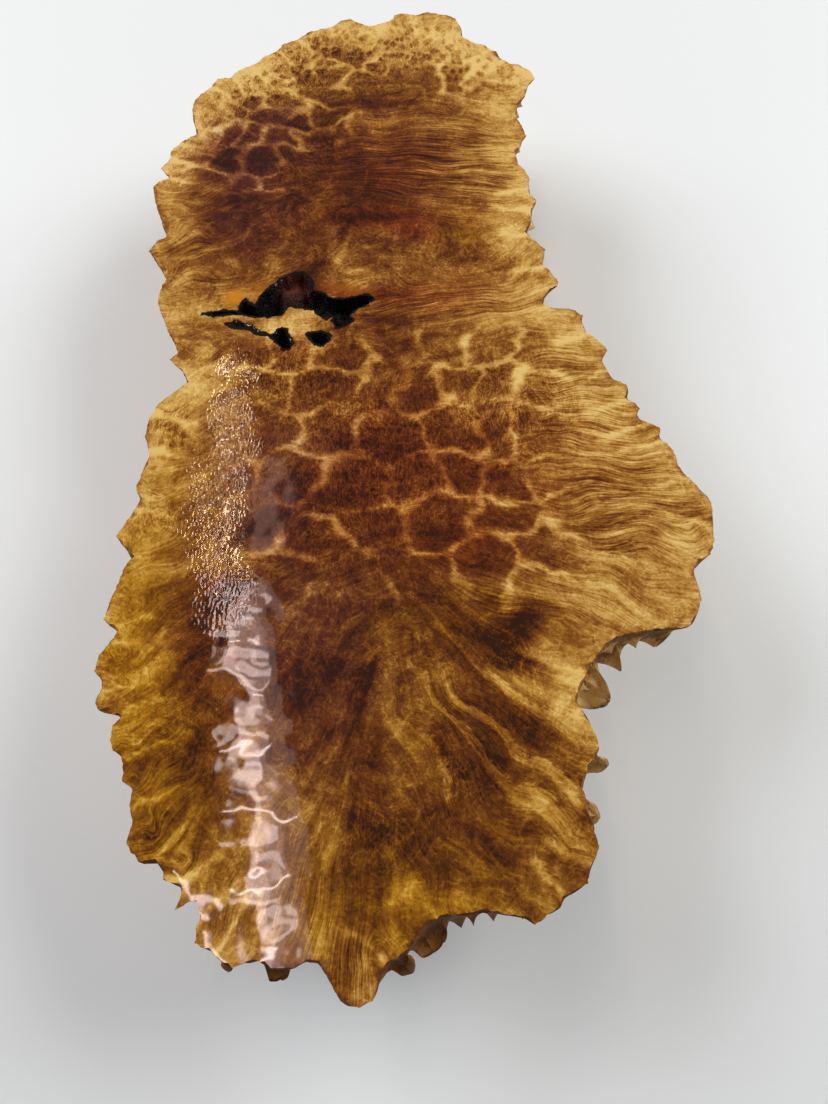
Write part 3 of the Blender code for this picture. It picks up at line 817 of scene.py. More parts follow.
def outline_gap(points: np.ndarray, outline: np.ndarray) -> np.ndarray:
    """Distance of points from a closed outline, negative outside it.

    Args:
        points: Plan points in millimetres.
        outline: The outline's corners in order.

    Returns:
        The distance in millimetres, positive inside.
    """
    start, end = outline, np.roll(outline, -1, axis=0)
    side = end - start
    away = points[:, None] - start[None]
    share = np.clip((away * side).sum(2) / (side * side).sum(1), 0.0, 1.0)
    near = np.linalg.norm(away - share[..., None] * side, axis=2).min(axis=1)
    rises = (start[None, :, 1] > points[:, None, 1]) != (end[None, :, 1] > points[:, None, 1])
    climb = np.where(np.abs(side[:, 1]) < 1e-9, 1e-9, side[:, 1])
    crossing = start[:, 0] + away[..., 1] * side[:, 0] / climb
    inside = (rises & (points[:, None, 0] < crossing)).sum(axis=1) % 2 == 1
    return np.where(inside, near, -near)


@dataclass
class BurlForm:
    """The burl's fine mesh: the node's own natural side, and a finely tiled sawn face.

    Attributes:
        node: The CAD node that the piece stands for.
        cuts: Cuts of each edge of the natural side.
        tile: Spacing of the sawn face's points, in millimetres.
        pocket_tile: The same in the bark pocket.
        coarse_from: How far outside the pocket's hollows the coarse tiling begins, in millimetres.
        fine_to: How far outside them the fine tiling ends.
        bark_depth: Depth from which a hollow is bark, in millimetres.
        pocket_ragged: How far the pocket's outline strays, in millimetres.
        pocket_seed: The seed of its straying.
        cone_hollow: How deep a cone's flanks sink, in millimetres.
        lump: Height of the broad lumps of the natural side, in millimetres.
        groove: Height of its fine grooves.
        ragged: How far the live edge strays.
        narrow_tooth: A tooth of the live edge that is too narrow to stray.
        bottom: Height below which the natural side lies flat on the floor.
        top: Height of the sawn face.
        low: The node's low corner.
        high: Its high corner.
        rim: The live edge's plan points in order.
    """

    node: str
    cuts: int = 3
    tile: float = 1.42
    pocket_tile: float = 0.8
    coarse_from: float = 2.2
    fine_to: float = 2.0
    bark_depth: float = 0.25
    pocket_ragged: float = 0.75
    pocket_seed: int = 11
    cone_hollow: float = 1.9
    lump: float = 0.5
    groove: float = 0.5
    ragged: float = 0.75
    narrow_tooth: Place = (-63.3, -189.3)
    bottom: float = 0.01
    top: float = field(init=False)
    low: np.ndarray = field(init=False)
    high: np.ndarray = field(init=False)
    rim: np.ndarray = field(init=False)

    def build(self) -> bpy.types.Object:
        """Makes the piece.

        Returns:
            The piece, at the origin, with its place in its mesh.
        """
        self.low, self.high = (np.array(corner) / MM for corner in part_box(self.node))
        self.top = float(self.high[2])
        piece = self.copied_node()
        self.weld(piece, 0.002)
        self.open_top(piece)
        self.refine_skin(piece)
        self.rim = self.rim_loop(piece)
        face = self.tiled_face()
        bpy.ops.object.select_all(action="DESELECT")
        face.select_set(True)
        self.hold(piece)
        bpy.ops.object.join()
        self.weld(piece, 0.001)
        self.finish_faces(piece)
        return piece

    def copied_node(self) -> bpy.types.Object:
        """Copies the node, as an object and a mesh of its own.

        Returns:
            The copy, in the scene.
        """
        piece = bpy.data.objects.new("burl", frame["nodes"][self.node].data.copy())
        bpy.context.scene.collection.objects.link(piece)
        piece.data.name = "burl"
        piece.data.materials.clear()
        bpy.ops.object.select_all(action="DESELECT")
        return piece

    @staticmethod
    def hold(piece: bpy.types.Object) -> None:
        """Selects a piece and makes it the active one."""
        piece.select_set(True)
        bpy.context.view_layer.objects.active = piece

    def edit(
        self, piece: bpy.types.Object, chosen: np.ndarray | None = None, faces: bool = False
    ) -> None:
        """Opens a piece in edit mode with a choice of its parts selected.

        Args:
            piece: The piece.
            chosen: True for each vertex or face to select, or nothing for all.
            faces: Whether the choice is of faces.
        """
        self.hold(piece)
        bpy.context.tool_settings.mesh_select_mode = (not faces, False, faces)
        bpy.ops.object.mode_set(mode="EDIT")
        bpy.ops.mesh.select_all(action="SELECT" if chosen is None else "DESELECT")
        if chosen is not None:
            bpy.ops.object.mode_set(mode="OBJECT")
            parts = piece.data.polygons if faces else piece.data.vertices
            parts.foreach_set("select", chosen)
            bpy.ops.object.mode_set(mode="EDIT")

    def weld(self, piece: bpy.types.Object, reach: float) -> None:
        """Merges the vertices of a piece that lie together, and turns its faces outwards.

        Args:
            piece: The piece.
            reach: How near they lie, in millimetres.
        """
        self.edit(piece)
        bpy.ops.mesh.remove_doubles(threshold=reach * MM)
        bpy.ops.mesh.normals_make_consistent(inside=False)
        bpy.ops.object.mode_set(mode="OBJECT")

    @staticmethod
    def places(piece: bpy.types.Object, part: str = "co") -> np.ndarray:
        """Reads the places of a piece's vertices, or their normals.

        Args:
            piece: The piece.
            part: What is read, co or normal.

        Returns:
            The places in millimetres, or the normals.
        """
        values = np.empty(len(piece.data.vertices) * 3, np.float32)
        piece.data.vertices.foreach_get(part, values)
        return values.reshape(-1, 3).astype(float) / (MM if part == "co" else 1.0)

    @staticmethod
    def place(piece: bpy.types.Object, points: np.ndarray) -> None:
        """Moves a piece's vertices to places in millimetres."""
        piece.data.vertices.foreach_set("co", (points * MM).astype(np.float32).ravel())
        piece.data.update()

    def open_top(self, piece: bpy.types.Object) -> None:
        """Takes away the sawn face and its hollows, and leaves the natural side open at the live edge.

        Args:
            piece: The node's merged copy.
        """
        heights = self.places(piece)[:, 2]
        sawn = [heights[list(face.vertices)].min() > self.top - 0.01 for face in piece.data.polygons]
        self.edit(piece, np.array(sawn), faces=True)
        bpy.ops.mesh.delete(type="FACE")
        bpy.ops.object.mode_set(mode="OBJECT")
        heights = self.places(piece)[:, 2]
        self.edit(piece, np.arange(len(heights)) == heights.argmin())
        bpy.ops.mesh.select_linked()
        bpy.ops.mesh.select_all(action="INVERT")
        bpy.ops.mesh.delete(type="VERT")
        bpy.ops.object.mode_set(mode="OBJECT")

    @staticmethod
    def edge_ends(mesh: bpy.types.Mesh, only_open: bool) -> np.ndarray:
        """Reads the two ends of each edge of a mesh.

        Args:
            mesh: The mesh.
            only_open: Whether only the edges of its open border are read.

        Returns:
            The ends' numbers, a pair for each edge.
        """
        ends = np.empty(len(mesh.edges) * 2, int)
        mesh.edges.foreach_get("vertices", ends)
        uses = np.empty(len(mesh.loops), int)
        mesh.loops.foreach_get("edge_index", uses)
        border = np.bincount(uses, minlength=len(mesh.edges)) == 1
        return ends.reshape(-1, 2)[border] if only_open else ends.reshape(-1, 2)

    def refine_skin(self, piece: bpy.types.Object) -> None:
        """Cuts the natural side finely and gives its cones hollow flanks, round feet and grooves.

        Args:
            piece: The open natural side.
        """
        mesh = piece.data
        points = self.places(piece)
        ends = self.edge_ends(mesh, False)
        total = np.zeros_like(points)
        count = np.bincount(ends.ravel(), minlength=len(points))
        for one, other in ((0, 1), (1, 0)):
            np.add.at(total, ends[:, one], points[ends[:, other]])
        rise = ((points - total / count[:, None]) * self.places(piece, "normal")).sum(axis=1)
        height = np.where(points[:, 2] < self.bottom, 0.8, np.clip((rise - 0.2) / 2.2, 0.0, 1.0))
        mesh.attributes.new("height", "FLOAT", "POINT").data.foreach_set("value", height)
        self.edit(piece)
        bpy.ops.mesh.subdivide(number_cuts=self.cuts)
        bpy.ops.object.mode_set(mode="OBJECT")

        points, normals = self.places(piece), self.places(piece, "normal")
        height = np.empty(len(points), np.float32)
        mesh.attributes["height"].data.foreach_get("value", height)
        on_rim = np.zeros(len(points), bool)
        on_rim[self.edge_ends(mesh, True).ravel()] = True
        free = ~on_rim & (points[:, 2] > self.bottom)
        sag = -4.0 * self.cone_hollow * height * (1.0 - height)
        lumps = self.lump * self.noise_at(points, 6.0)
        grit = self.groove * self.noise_at(points, 1.9)
        fade = np.clip((self.top - points[:, 2]) / 4.0, 0.0, 1.0) * free
        points += normals * ((sag + lumps + grit) * fade)[:, None]
        self.place(piece, points)
        self.edit(piece, free)
        bpy.ops.mesh.vertices_smooth(factor=0.5, repeat=2)
        bpy.ops.object.mode_set(mode="OBJECT")

        points = self.places(piece)
        outward = self.places(piece, "normal") * (1.0, 1.0, 0.0)
        outward /= np.linalg.norm(outward, axis=1)[:, None] + 1e-9
        nibble = self.noise_at(points[on_rim], 2.3) - 0.6
        nibble += 0.5 * self.noise_at(points[on_rim], 0.9) - 0.3
        nibble *= ease(1.5, 4.0, np.linalg.norm(points[on_rim, :2] - self.narrow_tooth, axis=1))
        points[on_rim] += outward[on_rim] * (self.ragged * nibble)[:, None]
        points[on_rim, 2] = self.top
        self.place(piece, np.clip(points, self.low, self.high))
        self.note(mesh, np.full(len(mesh.polygons), Finish.NATURAL.value))

    @staticmethod
    def noise_at(points: np.ndarray, size: float) -> np.ndarray:
        """Reads smooth noise at points, with swells of a size in millimetres."""
        return np.array([noise.noise(Vector(point) / size) for point in points])

    @staticmethod
    def note(mesh: bpy.types.Mesh, finishes: np.ndarray) -> None:
        """Notes each face's finish on a mesh."""
        mesh.attributes.new("finish", "INT", "FACE").data.foreach_set("value", finishes.astype(np.int32))

    def rim_loop(self, piece: bpy.types.Object) -> np.ndarray:
        """Walks round the live edge.

        Args:
            piece: The open natural side.

        Returns:
            The edge's plan points in order, in millimetres.
        """
        ways: dict[int, list[int]] = {}
        for one, other in self.edge_ends(piece.data, True).tolist():
            ways.setdefault(one, []).append(other)
            ways.setdefault(other, []).append(one)
        start = min(ways)
        loop = [start, ways[start][0]]
        while True:
            ahead = next(way for way in ways[loop[-1]] if way != loop[-2])
            if ahead == start:
                return self.places(piece)[loop, :2]
            loop.append(ahead)

    @staticmethod
    def hex_points(low: Place | np.ndarray, high: Place | np.ndarray, spacing: float) -> np.ndarray:
        """Fills a rectangle with points in rows of triangles.

        Args:
            low: The rectangle's low corner.
            high: Its high corner.
            spacing: Spacing of the points.

        Returns:
            The points.
        """
        rows = np.arange(low[1], high[1], spacing * math.sqrt(0.75))
        columns = np.arange(low[0], high[0], spacing)
        grid_x, grid_y = np.meshgrid(columns, rows)
        grid_x[1::2] += spacing / 2.0
        return np.column_stack([grid_x.ravel(), grid_y.ravel()])

    def paced(self, outline: np.ndarray) -> np.ndarray:
        """Puts the points of a hollow's outline at an even pace, slightly ragged.

        Args:
            outline: The outline's corners.

        Returns:
            The points.
        """
        points = []
        noise.seed_set(self.pocket_seed)
        for start, end in zip(outline, np.roll(outline, -1, axis=0)):
            count = max(1, round(float(np.linalg.norm(end - start)) / self.pocket_tile))
            for step in range(count):
                point = start + (end - start) * step / count
                jitter = noise.noise_vector(Vector((*point, 3.0)) / 1.1)
                points.append(point + self.pocket_ragged * np.array(jitter)[:2])
        return np.array(points)

    def tiled_face(self) -> bpy.types.Object:
        """Tiles the sawn face inside the live edge, and models the hollows of the bark pocket.

        Returns:
            The face, as an object of its own.
        """
        hollows = {name: self.paced(np.array(line, float)) for name, (_, line) in HOLLOWS.items()}
        grid = self.hex_points(self.low[:2], self.high[:2], self.tile)
        grid = grid[self.inside(grid, self.rim, 0.5 * self.tile)]
        fine = self.hex_points(POCKET_LOW, POCKET_HIGH, self.pocket_tile)
        grid_gap = np.max([outline_gap(grid, outline) for outline in hollows.values()], axis=0)
        fine_gaps = np.array([outline_gap(fine, outline) for outline in hollows.values()])
        grid = grid[grid_gap < -self.coarse_from]
        clear = np.abs(fine_gaps).min(axis=0) > 0.35 * self.pocket_tile
        fine = fine[(fine_gaps.max(axis=0) > -self.fine_to) & clear]
        borders, start = [], len(self.rim)
        for outline in hollows.values():
            loop = start + np.arange(len(outline))
            borders += zip(loop.tolist(), np.roll(loop, -1).tolist())
            start += len(outline)
        points = [Vector(point) for point in np.concatenate([self.rim, *hollows.values(), grid, fine])]
        rim = list(range(len(self.rim)))
        corners, _, triangles, *_ = delaunay_2d_cdt(points, borders, [rim], INSIDE_ONLY, SAME_PLACE)
        flat = np.array(corners)
        depth = self.depths(flat, hollows)
        mesh = bpy.data.meshes.new("face")
        mesh.from_pydata((np.column_stack([flat, self.top - depth]) * MM).tolist(), [], triangles)
        sunk = np.array([np.mean(depth[triangle]) > self.bark_depth for triangle in triangles])
        self.note(mesh, np.where(sunk, Finish.BARK.value, Finish.SAWN.value))
        face = bpy.data.objects.new("face", mesh)
        bpy.context.scene.collection.objects.link(face)
        return face

    def finish_faces(self, piece: bpy.types.Object) -> None:
        """Gives each face the slot of its finish, smooth shading, and a sharp edge where finishes meet.

        Args:
            piece: The whole piece.
        """
        mesh = piece.data
        finishes = np.empty(len(mesh.polygons), np.int32)
        mesh.attributes["finish"].data.foreach_get("value", finishes)
        mesh.polygons.foreach_set("material_index", finishes)
        mesh.attributes.remove(mesh.attributes["finish"])
        self.edit(piece)
        bpy.ops.mesh.faces_shade_smooth()
        bpy.ops.object.mode_set(mode="OBJECT")
        uses = np.empty(len(mesh.loops), int)
        mesh.loops.foreach_get("edge_index", uses)
        kinds = np.repeat(finishes, 3)
        lowest, highest = np.full(len(mesh.edges), 9), np.full(len(mesh.edges), -1)
        np.minimum.at(lowest, uses, kinds)
        np.maximum.at(highest, uses, kinds)
        sharp = mesh.attributes.new("sharp_edge", "BOOLEAN", "EDGE")
        sharp.data.foreach_set("value", lowest != highest)

    def inside(self, points: np.ndarray, outline: np.ndarray, margin: float) -> np.ndarray:
        """Tells which points lie inside an outline by more than a margin.

        Args:
            points: Plan points in millimetres.
            outline: The outline's corners.
            margin: The margin in millimetres.

        Returns:
            True for each point inside.
        """
        parts = np.array_split(points, max(1, len(points) // 4000))
        return np.concatenate([outline_gap(part, outline) > margin for part in parts])

    def depths(self, flat: np.ndarray, hollows: dict[str, np.ndarray]) -> np.ndarray:
        """How deep each point of the sawn face lies.

        Args:
            flat: Plan points in millimetres.
            hollows: The hollows' outlines by name.

        Returns:
            The depth in millimetres.
        """
        depth = np.zeros(len(flat))
        rough = Drift(21)
        for name, outline in hollows.items():
            gap = outline_gap(flat, outline)
            floor = HOLLOWS[name][0] * (0.8 + 0.2 * rough.rough(flat, 5.0))
            depth = np.maximum(depth, np.where(gap > 1e-4, floor * ease(-0.2, 1.9, gap), 0.0))
        dome = DOME_RISE * np.exp(-(((flat - DOME_MIDDLE) / DOME_HALF) ** 2).sum(axis=1))
        return np.where(depth > 0.0, np.maximum(depth - dome * ease(0.5, 3.0, depth), 0.3), 0.0)


class Signal:
    """A shader value on its way through a node tree; sums and products of it add nodes."""

    def __init__(self, paint: "Paint", socket: bpy.types.NodeSocket) -> None:
        """Wraps a socket of a paint's node tree."""
        self.paint = paint
        self.socket = socket

    def __add__(self, other: "Signal | float") -> "Signal":
        """Adds a value."""
        return self.paint.math("ADD", self, other)

    def __radd__(self, other: float) -> "Signal":
        """Adds to a value."""
        return self.paint.math("ADD", other, self)

    def __sub__(self, other: "Signal | float") -> "Signal":
        """Takes a value away."""
        return self.paint.math("SUBTRACT", self, other)

    def __rsub__(self, other: float) -> "Signal":
        """Takes it away from a value."""
        return self.paint.math("SUBTRACT", other, self)

    def __mul__(self, other: "Signal | float") -> "Signal":
        """Multiplies by a value."""
        return self.paint.math("MULTIPLY", self, other)

    def __rmul__(self, other: float) -> "Signal":
        """Multiplies a value."""
        return self.paint.math("MULTIPLY", other, self)


class Paint:
    """A material's node tree, with a short call for each kind of node that the finishes use."""

    def __init__(self, name: str) -> None:
        """Makes an empty material with a Principled shader.

        Args:
            name: The material's name.
        """
        self.material = bpy.data.materials.new(name)
        self.material.use_nodes = True
        self.tree = self.material.node_tree
        self.shader = self.tree.nodes["Principled BSDF"]

    def node(self, kind: str, settings: dict | None = None, **inputs: object) -> bpy.types.Node:
        """Adds a node.

        Args:
            kind: The node's type.
            settings: Its settings, set before its sockets.
            inputs: Values or signals by socket name, with _ for a space, or by socket_ and a number.

        Returns:
            The node.
        """
        node = self.tree.nodes.new(kind)
        for key, value in (settings or {}).items():
            setattr(node, key, value)
        for key, value in inputs.items():
            number = key.removeprefix("socket_")
            socket = node.inputs[int(number)] if number.isdigit() else node.inputs[key.replace("_", " ")]
            self.feed(socket, value)
        return node

    def feed(self, socket: bpy.types.NodeSocket, value: object) -> None:
        """Gives a socket a value or links a signal to it.

        Args:
            socket: The socket.
            value: The value or the signal.
        """
        if isinstance(value, Signal):
            self.tree.links.new(value.socket, socket)
        else:
            socket.default_value = value

    def math(self, operation: str, first: object, second: object = 0.0) -> Signal:
        """Adds a Math node."""
        node = self.node("ShaderNodeMath", {"operation": operation}, socket_0=first, socket_1=second)
        return Signal(self, node.outputs[0])

    def step(self, low: float, high: float, value: Signal) -> Signal:
        """Rises smoothly from 0 at low to 1 at high.

        Args:
            low: Where the rise starts.
            high: Where it ends.
            value: The value to read.

        Returns:
            The share of the rise.
        """
        settings = {"interpolation_type": "SMOOTHSTEP"}
        node = self.node("ShaderNodeMapRange", settings, Value=value, From_Min=low, From_Max=high)
        return Signal(self, node.outputs[0])

    def value_of(self, name: str) -> Signal:
        """Reads one of the mesh's own values."""
        node = self.node("ShaderNodeAttribute", {"attribute_name": name})
        return Signal(self, node.outputs["Fac"])

    def place(self) -> Signal:
        """The point in millimetres."""
        source = self.node("ShaderNodeTexCoord").outputs["Object"]
        return self.scaled(Signal(self, source), 1.0 / MM)

    def vectors(self, operation: str, **inputs: object) -> Signal:
        """Adds a Vector Math node."""
        node = self.node("ShaderNodeVectorMath", {"operation": operation}, **inputs)
        return Signal(self, node.outputs[0])

    def scaled(self, vector: Signal, factor: float) -> Signal:
        """Scales a vector."""
        return self.vectors("SCALE", socket_0=vector, Scale=factor)

    def stretched(self, vector: Signal, x: float, y: float, z: float = 1.0) -> Signal:
        """Multiplies each part of a vector by its own number."""
        return self.vectors("MULTIPLY", socket_0=vector, socket_1=(x, y, z))

    def moved(self, vector: Signal, by: Signal) -> Signal:
        """Adds two vectors."""
        return self.vectors("ADD", socket_0=vector, socket_1=by)

    def parts(self, vector: Signal) -> tuple[Signal, Signal, Signal]:
        """Splits a vector."""
        node = self.node("ShaderNodeSeparateXYZ", socket_0=vector)
        return tuple(Signal(self, output) for output in node.outputs)

    def vector(self, x: object, y: object, z: object = 0.0) -> Signal:
        """Joins three numbers."""
        node = self.node("ShaderNodeCombineXYZ", socket_0=x, socket_1=y, socket_2=z)
        return Signal(self, node.outputs[0])

    def cloud(self, vector: Signal, scale: float, detail: float = 2.0, rough: float = 0.5) -> Signal:
        """Noise from 0 to 1."""
        node = self.node("ShaderNodeTexNoise", Vector=vector, Scale=scale, Detail=detail, Roughness=rough)
        return Signal(self, node.outputs[0])

    def cloud_vector(self, vector: Signal, scale: float, reach: float, detail: float = 1.0) -> Signal:
        """Noise as a vector.

        Args:
            vector: Where it is read.
            scale: Its scale.
            reach: The most that a part of it can be, each way.
            detail: Its octaves past the first.

        Returns:
            The vector.
        """
        node = self.node("ShaderNodeTexNoise", Vector=vector, Scale=scale, Detail=detail)
        noisy = Signal(self, node.outputs[1])
        return self.scaled(self.vectors("SUBTRACT", socket_0=noisy, socket_1=(0.5, 0.5, 0.5)), 2.0 * reach)

    def cells(self, vector: Signal) -> tuple[Signal, Signal]:
        """Draws uneven cells of unit size in the plane.

        Args:
            vector: Where they are read.

        Returns:
            The distance from a cell's middle, and a number from 0 to 1 of its own.
        """
        node = self.node("ShaderNodeTexVoronoi", {"voronoi_dimensions": "2D"}, Vector=vector, Scale=1.0)
        chance = self.parts(Signal(self, node.outputs["Color"]))[0]
        return Signal(self, node.outputs["Distance"]), chance

    def ramp(self, value: Signal, stops: Ramp) -> Signal:
        """Turns a value into a colour.

        Args:
            value: The value, from 0 to 1.
            stops: The places and colours of the ramp.

        Returns:
            The colour.
        """
        node = self.node("ShaderNodeValToRGB", socket_0=value)
        band = node.color_ramp
        while len(band.elements) < len(stops):
            band.elements.new(0.5)
        for element, (place, colour) in zip(band.elements, stops):
            element.position = place
            element.color = colour
        return Signal(self, node.outputs[0])

    def blend(self, share: Signal, first: object, second: object) -> Signal:
        """Mixes two colours."""
        sockets = {"socket_0": share, "socket_6": first, "socket_7": second}
        return Signal(self, self.node("ShaderNodeMix", {"data_type": "RGBA"}, **sockets).outputs[2])

    def relief(self, height: Signal, depth: float) -> Signal:
        """Turns a height, as a share of a depth in millimetres, into a bumped normal."""
        node = self.node("ShaderNodeBump", Height=height, Distance=depth * MM, Strength=1.0)
        return Signal(self, node.outputs[0])

    def dress(self, **inputs: object) -> bpy.types.Material:
        """Sets the shader's sockets.

        Args:
            inputs: Values or signals by socket name, with _ for a space.

        Returns:
            The finished material.
        """
        for key, value in inputs.items():
            self.feed(self.shader.inputs[key.replace("_", " ")], value)
        return self.material


@dataclass(frozen=True)
class SawnWood:
    """Wet, glossy sawn burl wood: golden to near-black by tone, with streaks, pin eyes, golden webs and
    broad bands of partly painted sheen.

    Attributes:
        gum: The amber gum.
        char: The black stain round the pocket.
        gold: Shades of plain wood.
        amber: Shades of olive wood.
        rust: Shades of red wood.
        wine: Shades of purple wood.
        contrast: How much the tone is stretched about its middle.
        band_share: How much the light and dark bands, partly painted chatoyant sheen, add to the tone.
        web_gold: How much the golden webs take away.
        dull: Roughness where the wood is damp and no film lies on it.
    """

    gum: Colour = pigment(196, 122, 10)
    char: Colour = pigment(22, 13, 9)
    gold: Ramp = shades(
        (224, 188, 114), (204, 162, 86), (176, 126, 54), (136, 84, 26), (98, 48, 11),
        (72, 31, 7), (48, 19, 5)
    )
    amber: Ramp = shades(
        (214, 174, 84), (192, 144, 46), (164, 112, 16), (132, 82, 4), (100, 54, 2),
        (74, 37, 1), (48, 22, 1)
    )
    rust: Ramp = shades(
        (228, 184, 112), (204, 146, 74), (170, 98, 38), (130, 60, 16), (98, 39, 8),
        (74, 26, 5), (48, 15, 3)
    )
    wine: Ramp = shades(
        (214, 174, 130), (182, 134, 90), (146, 92, 56), (114, 62, 36), (88, 40, 24),
        (68, 29, 18), (48, 21, 14)
    )

    contrast: float = 1.18
    band_share: float = 0.26
    web_gold: float = 0.36
    dull: float = 0.042

    def material(self) -> bpy.types.Material:
        """Builds the material.

        Returns:
            The material.
        """
        paint = Paint("sawn_wood")
        x, y, _ = paint.parts(paint.place())
        flat = paint.vector(x, y)
        across = paint.value_of("across")
        eyes = paint.value_of("eyes")
        streaks = paint.value_of("streaks")
        tone = paint.value_of("tone")

        swirl = paint.moved(flat, paint.cloud_vector(flat, 0.045, 7.0, 0.0))
        swirl = paint.moved(swirl, paint.cloud_vector(flat, 0.15, 2.4, 1.0))
        curl = paint.cloud(swirl, 0.17, 6.0, 0.68) - 0.5
        wisp = self.thread(paint, paint.cloud(swirl, 0.085, 2.0, 0.5), 0.020)
        apart = paint.moved(swirl, paint.vector(91.0, 17.0))
        wisp_fine = self.thread(paint, paint.cloud(apart, 0.25, 3.0, 0.55), 0.032)

        line = paint.cloud(paint.vector(across * 0.66, x * 0.034, y * 0.034), 1.0, 5.0, 0.76) - 0.5
        fibre = paint.cloud(paint.vector(across * 2.4, x * 0.09, y * 0.09), 1.0, 2.0, 0.6) - 0.5
        eye_tone = self.eyes(paint, flat)
        dash = paint.cloud(paint.vector(across * 0.85, x * 0.05, y * 0.05), 1.0, 2.0, 0.6)
        dash = self.thread(paint, dash, 0.05)
        streak_tone = line * 1.5 + fibre * 0.55 + dash * 0.16 - 0.08
        cell = paint.value_of("cell") * eyes
        crumpled = paint.moved(flat, paint.cloud_vector(flat, 0.3, 1.2, 1.0))
        crinkle = paint.cloud(crumpled, 0.85, 3.0, 0.7) - 0.5
        flame = paint.cloud(paint.vector(across * 0.17, x * 0.018, y * 0.018), 1.0, 2.0, 0.55) - 0.5
        curl_tone = curl * 0.80 + crinkle * 0.20 + flame * 0.50 - wisp * 0.09 - wisp_fine * 0.10
        curl_tone = curl_tone + fibre * 0.34
        calm = (1.0 - 0.65 * streaks) * (1.0 - 0.55 * cell) * (1.0 - 0.55 * paint.value_of("pips"))
        web = paint.value_of("web")
        lobe = paint.value_of("lobe")
        # Light and dark bands, partly painted chatoyant sheen
        band = paint.cloud(paint.vector(across * 0.15 + curl * 0.7, x * 0.014, y * 0.014), 1.0, 1.0, 0.5)
        band_sheen_tone = paint.step(0.455, 0.515, band) - 0.5 + line * 0.30
        full = (
            tone
            + eyes * (1.0 - web) * eye_tone
            + self.pips(paint, flat) * paint.value_of("pips")
            + (streaks + lobe * 0.3) * streak_tone
            + calm * curl_tone
            + crinkle * (0.28 - 0.20 * eyes)
            + paint.value_of("bands") * band_sheen_tone * self.band_share
            + cell * 0.10
            + lobe * 0.07
            - web * self.web_gold
        )
        full = (full - 0.5) * self.contrast + 0.5
        colour = paint.ramp(full, self.gold)
        for region, wood in (("red", self.rust), ("purple", self.wine), ("olive", self.amber)):
            colour = paint.blend(paint.value_of(region), colour, paint.ramp(full, wood))
        colour = paint.blend(paint.value_of("gum"), colour, self.gum)
        char = paint.value_of("char") + (paint.cloud(flat, 1.1, 2.0, 0.6) - 0.5) * 1.1
        stain = paint.step(0.38, 0.60, char)
        colour = paint.blend(stain, colour, self.char)

        broad = paint.cloud(flat, 0.05, 0.0)
        ripple = paint.cloud(flat, 0.13, 0.0)
        film = paint.value_of("film")
        small = paint.cloud(flat, 0.30, 0.0)
        drops = paint.cloud(paint.stretched(flat, 1.05, 0.58), 1.0, 0.0)
        clumps = paint.step(0.34, 0.62, paint.cloud(flat, 0.13, 2.0, 0.6))
        damp = paint.value_of("damp") * drops * (0.046 + 0.034 * clumps)
        height = broad * 0.12 + ripple * 0.08 + small * 0.008 + damp
        return paint.dress(
            Base_Color=colour,
            Roughness=self.dull - 0.022 * film + 0.025 * paint.cloud(flat, 0.11, 2.0, 0.5),
            Normal=paint.relief(height, 1.0),
            IOR=1.45,
        )

    @staticmethod
    def thread(paint: Paint, value: Signal, wide: float) -> Signal:
        """Draws a thin line where a value passes its middle.

        Args:
            paint: The material's tree.
            value: The value, from 0 to 1.
            wide: How far from its middle the line reaches.

        Returns:
            1 on the line, 0 beside it.
        """
        return 1.0 - paint.step(0.0, wide, paint.math("ABSOLUTE", value - 0.5))

    @staticmethod
    def eyes(paint: Paint, flat: Signal) -> Signal:
        """Draws pin eyes: dark ovals of a few millimetres among pale hair lines.

        Args:
            paint: The material's tree.
            flat: The plan point in millimetres.

        Returns:
            How much each point is darker or, below 0, paler.
        """
        bent = paint.moved(flat, paint.cloud_vector(flat, 0.06, 5.0, 0.0))
        bent = paint.moved(bent, paint.cloud_vector(flat, 0.26, 1.1, 1.0))
        far, chance = paint.cells(paint.stretched(bent, 1.0 / 2.8, 1.0 / 4.4, 0.0))
        core = 1.0 - paint.step(0.08, 0.44, far)
        hair = paint.cloud(paint.stretched(bent, 0.74, 0.24, 0.0), 1.0, 2.0, 0.6)
        fine = paint.cloud(paint.stretched(bent, 1.1, 0.42, 0.0), 1.0, 1.0, 0.5)
        hair, fine = SawnWood.thread(paint, hair, 0.075), SawnWood.thread(paint, fine, 0.10)
        return core * (0.03 + 0.13 * chance) - hair * 0.21 - fine * 0.07 + 0.05

    @staticmethod
    def pips(paint: Paint, flat: Signal) -> Signal:
        """Draws pips: dark ovals of 3 to 5 mm that stand apart in pale wood.

        Args:
            paint: The material's tree.
            flat: The plan point in millimetres.

        Returns:
            How much each point is darker or, below 0, paler.
        """
        bent = paint.moved(flat, paint.cloud_vector(flat, 0.09, 3.0, 0.0))
        bent = paint.moved(bent, paint.cloud_vector(flat, 0.3, 0.8, 1.0))
        far, chance = paint.cells(paint.stretched(bent, 1.0 / 4.0, 1.0 / 6.4, 0.0))
        core = 1.0 - paint.step(0.16, 0.46, far + (chance - 0.5) * 0.20)
        return core * (0.18 + 0.12 * chance) - 0.13


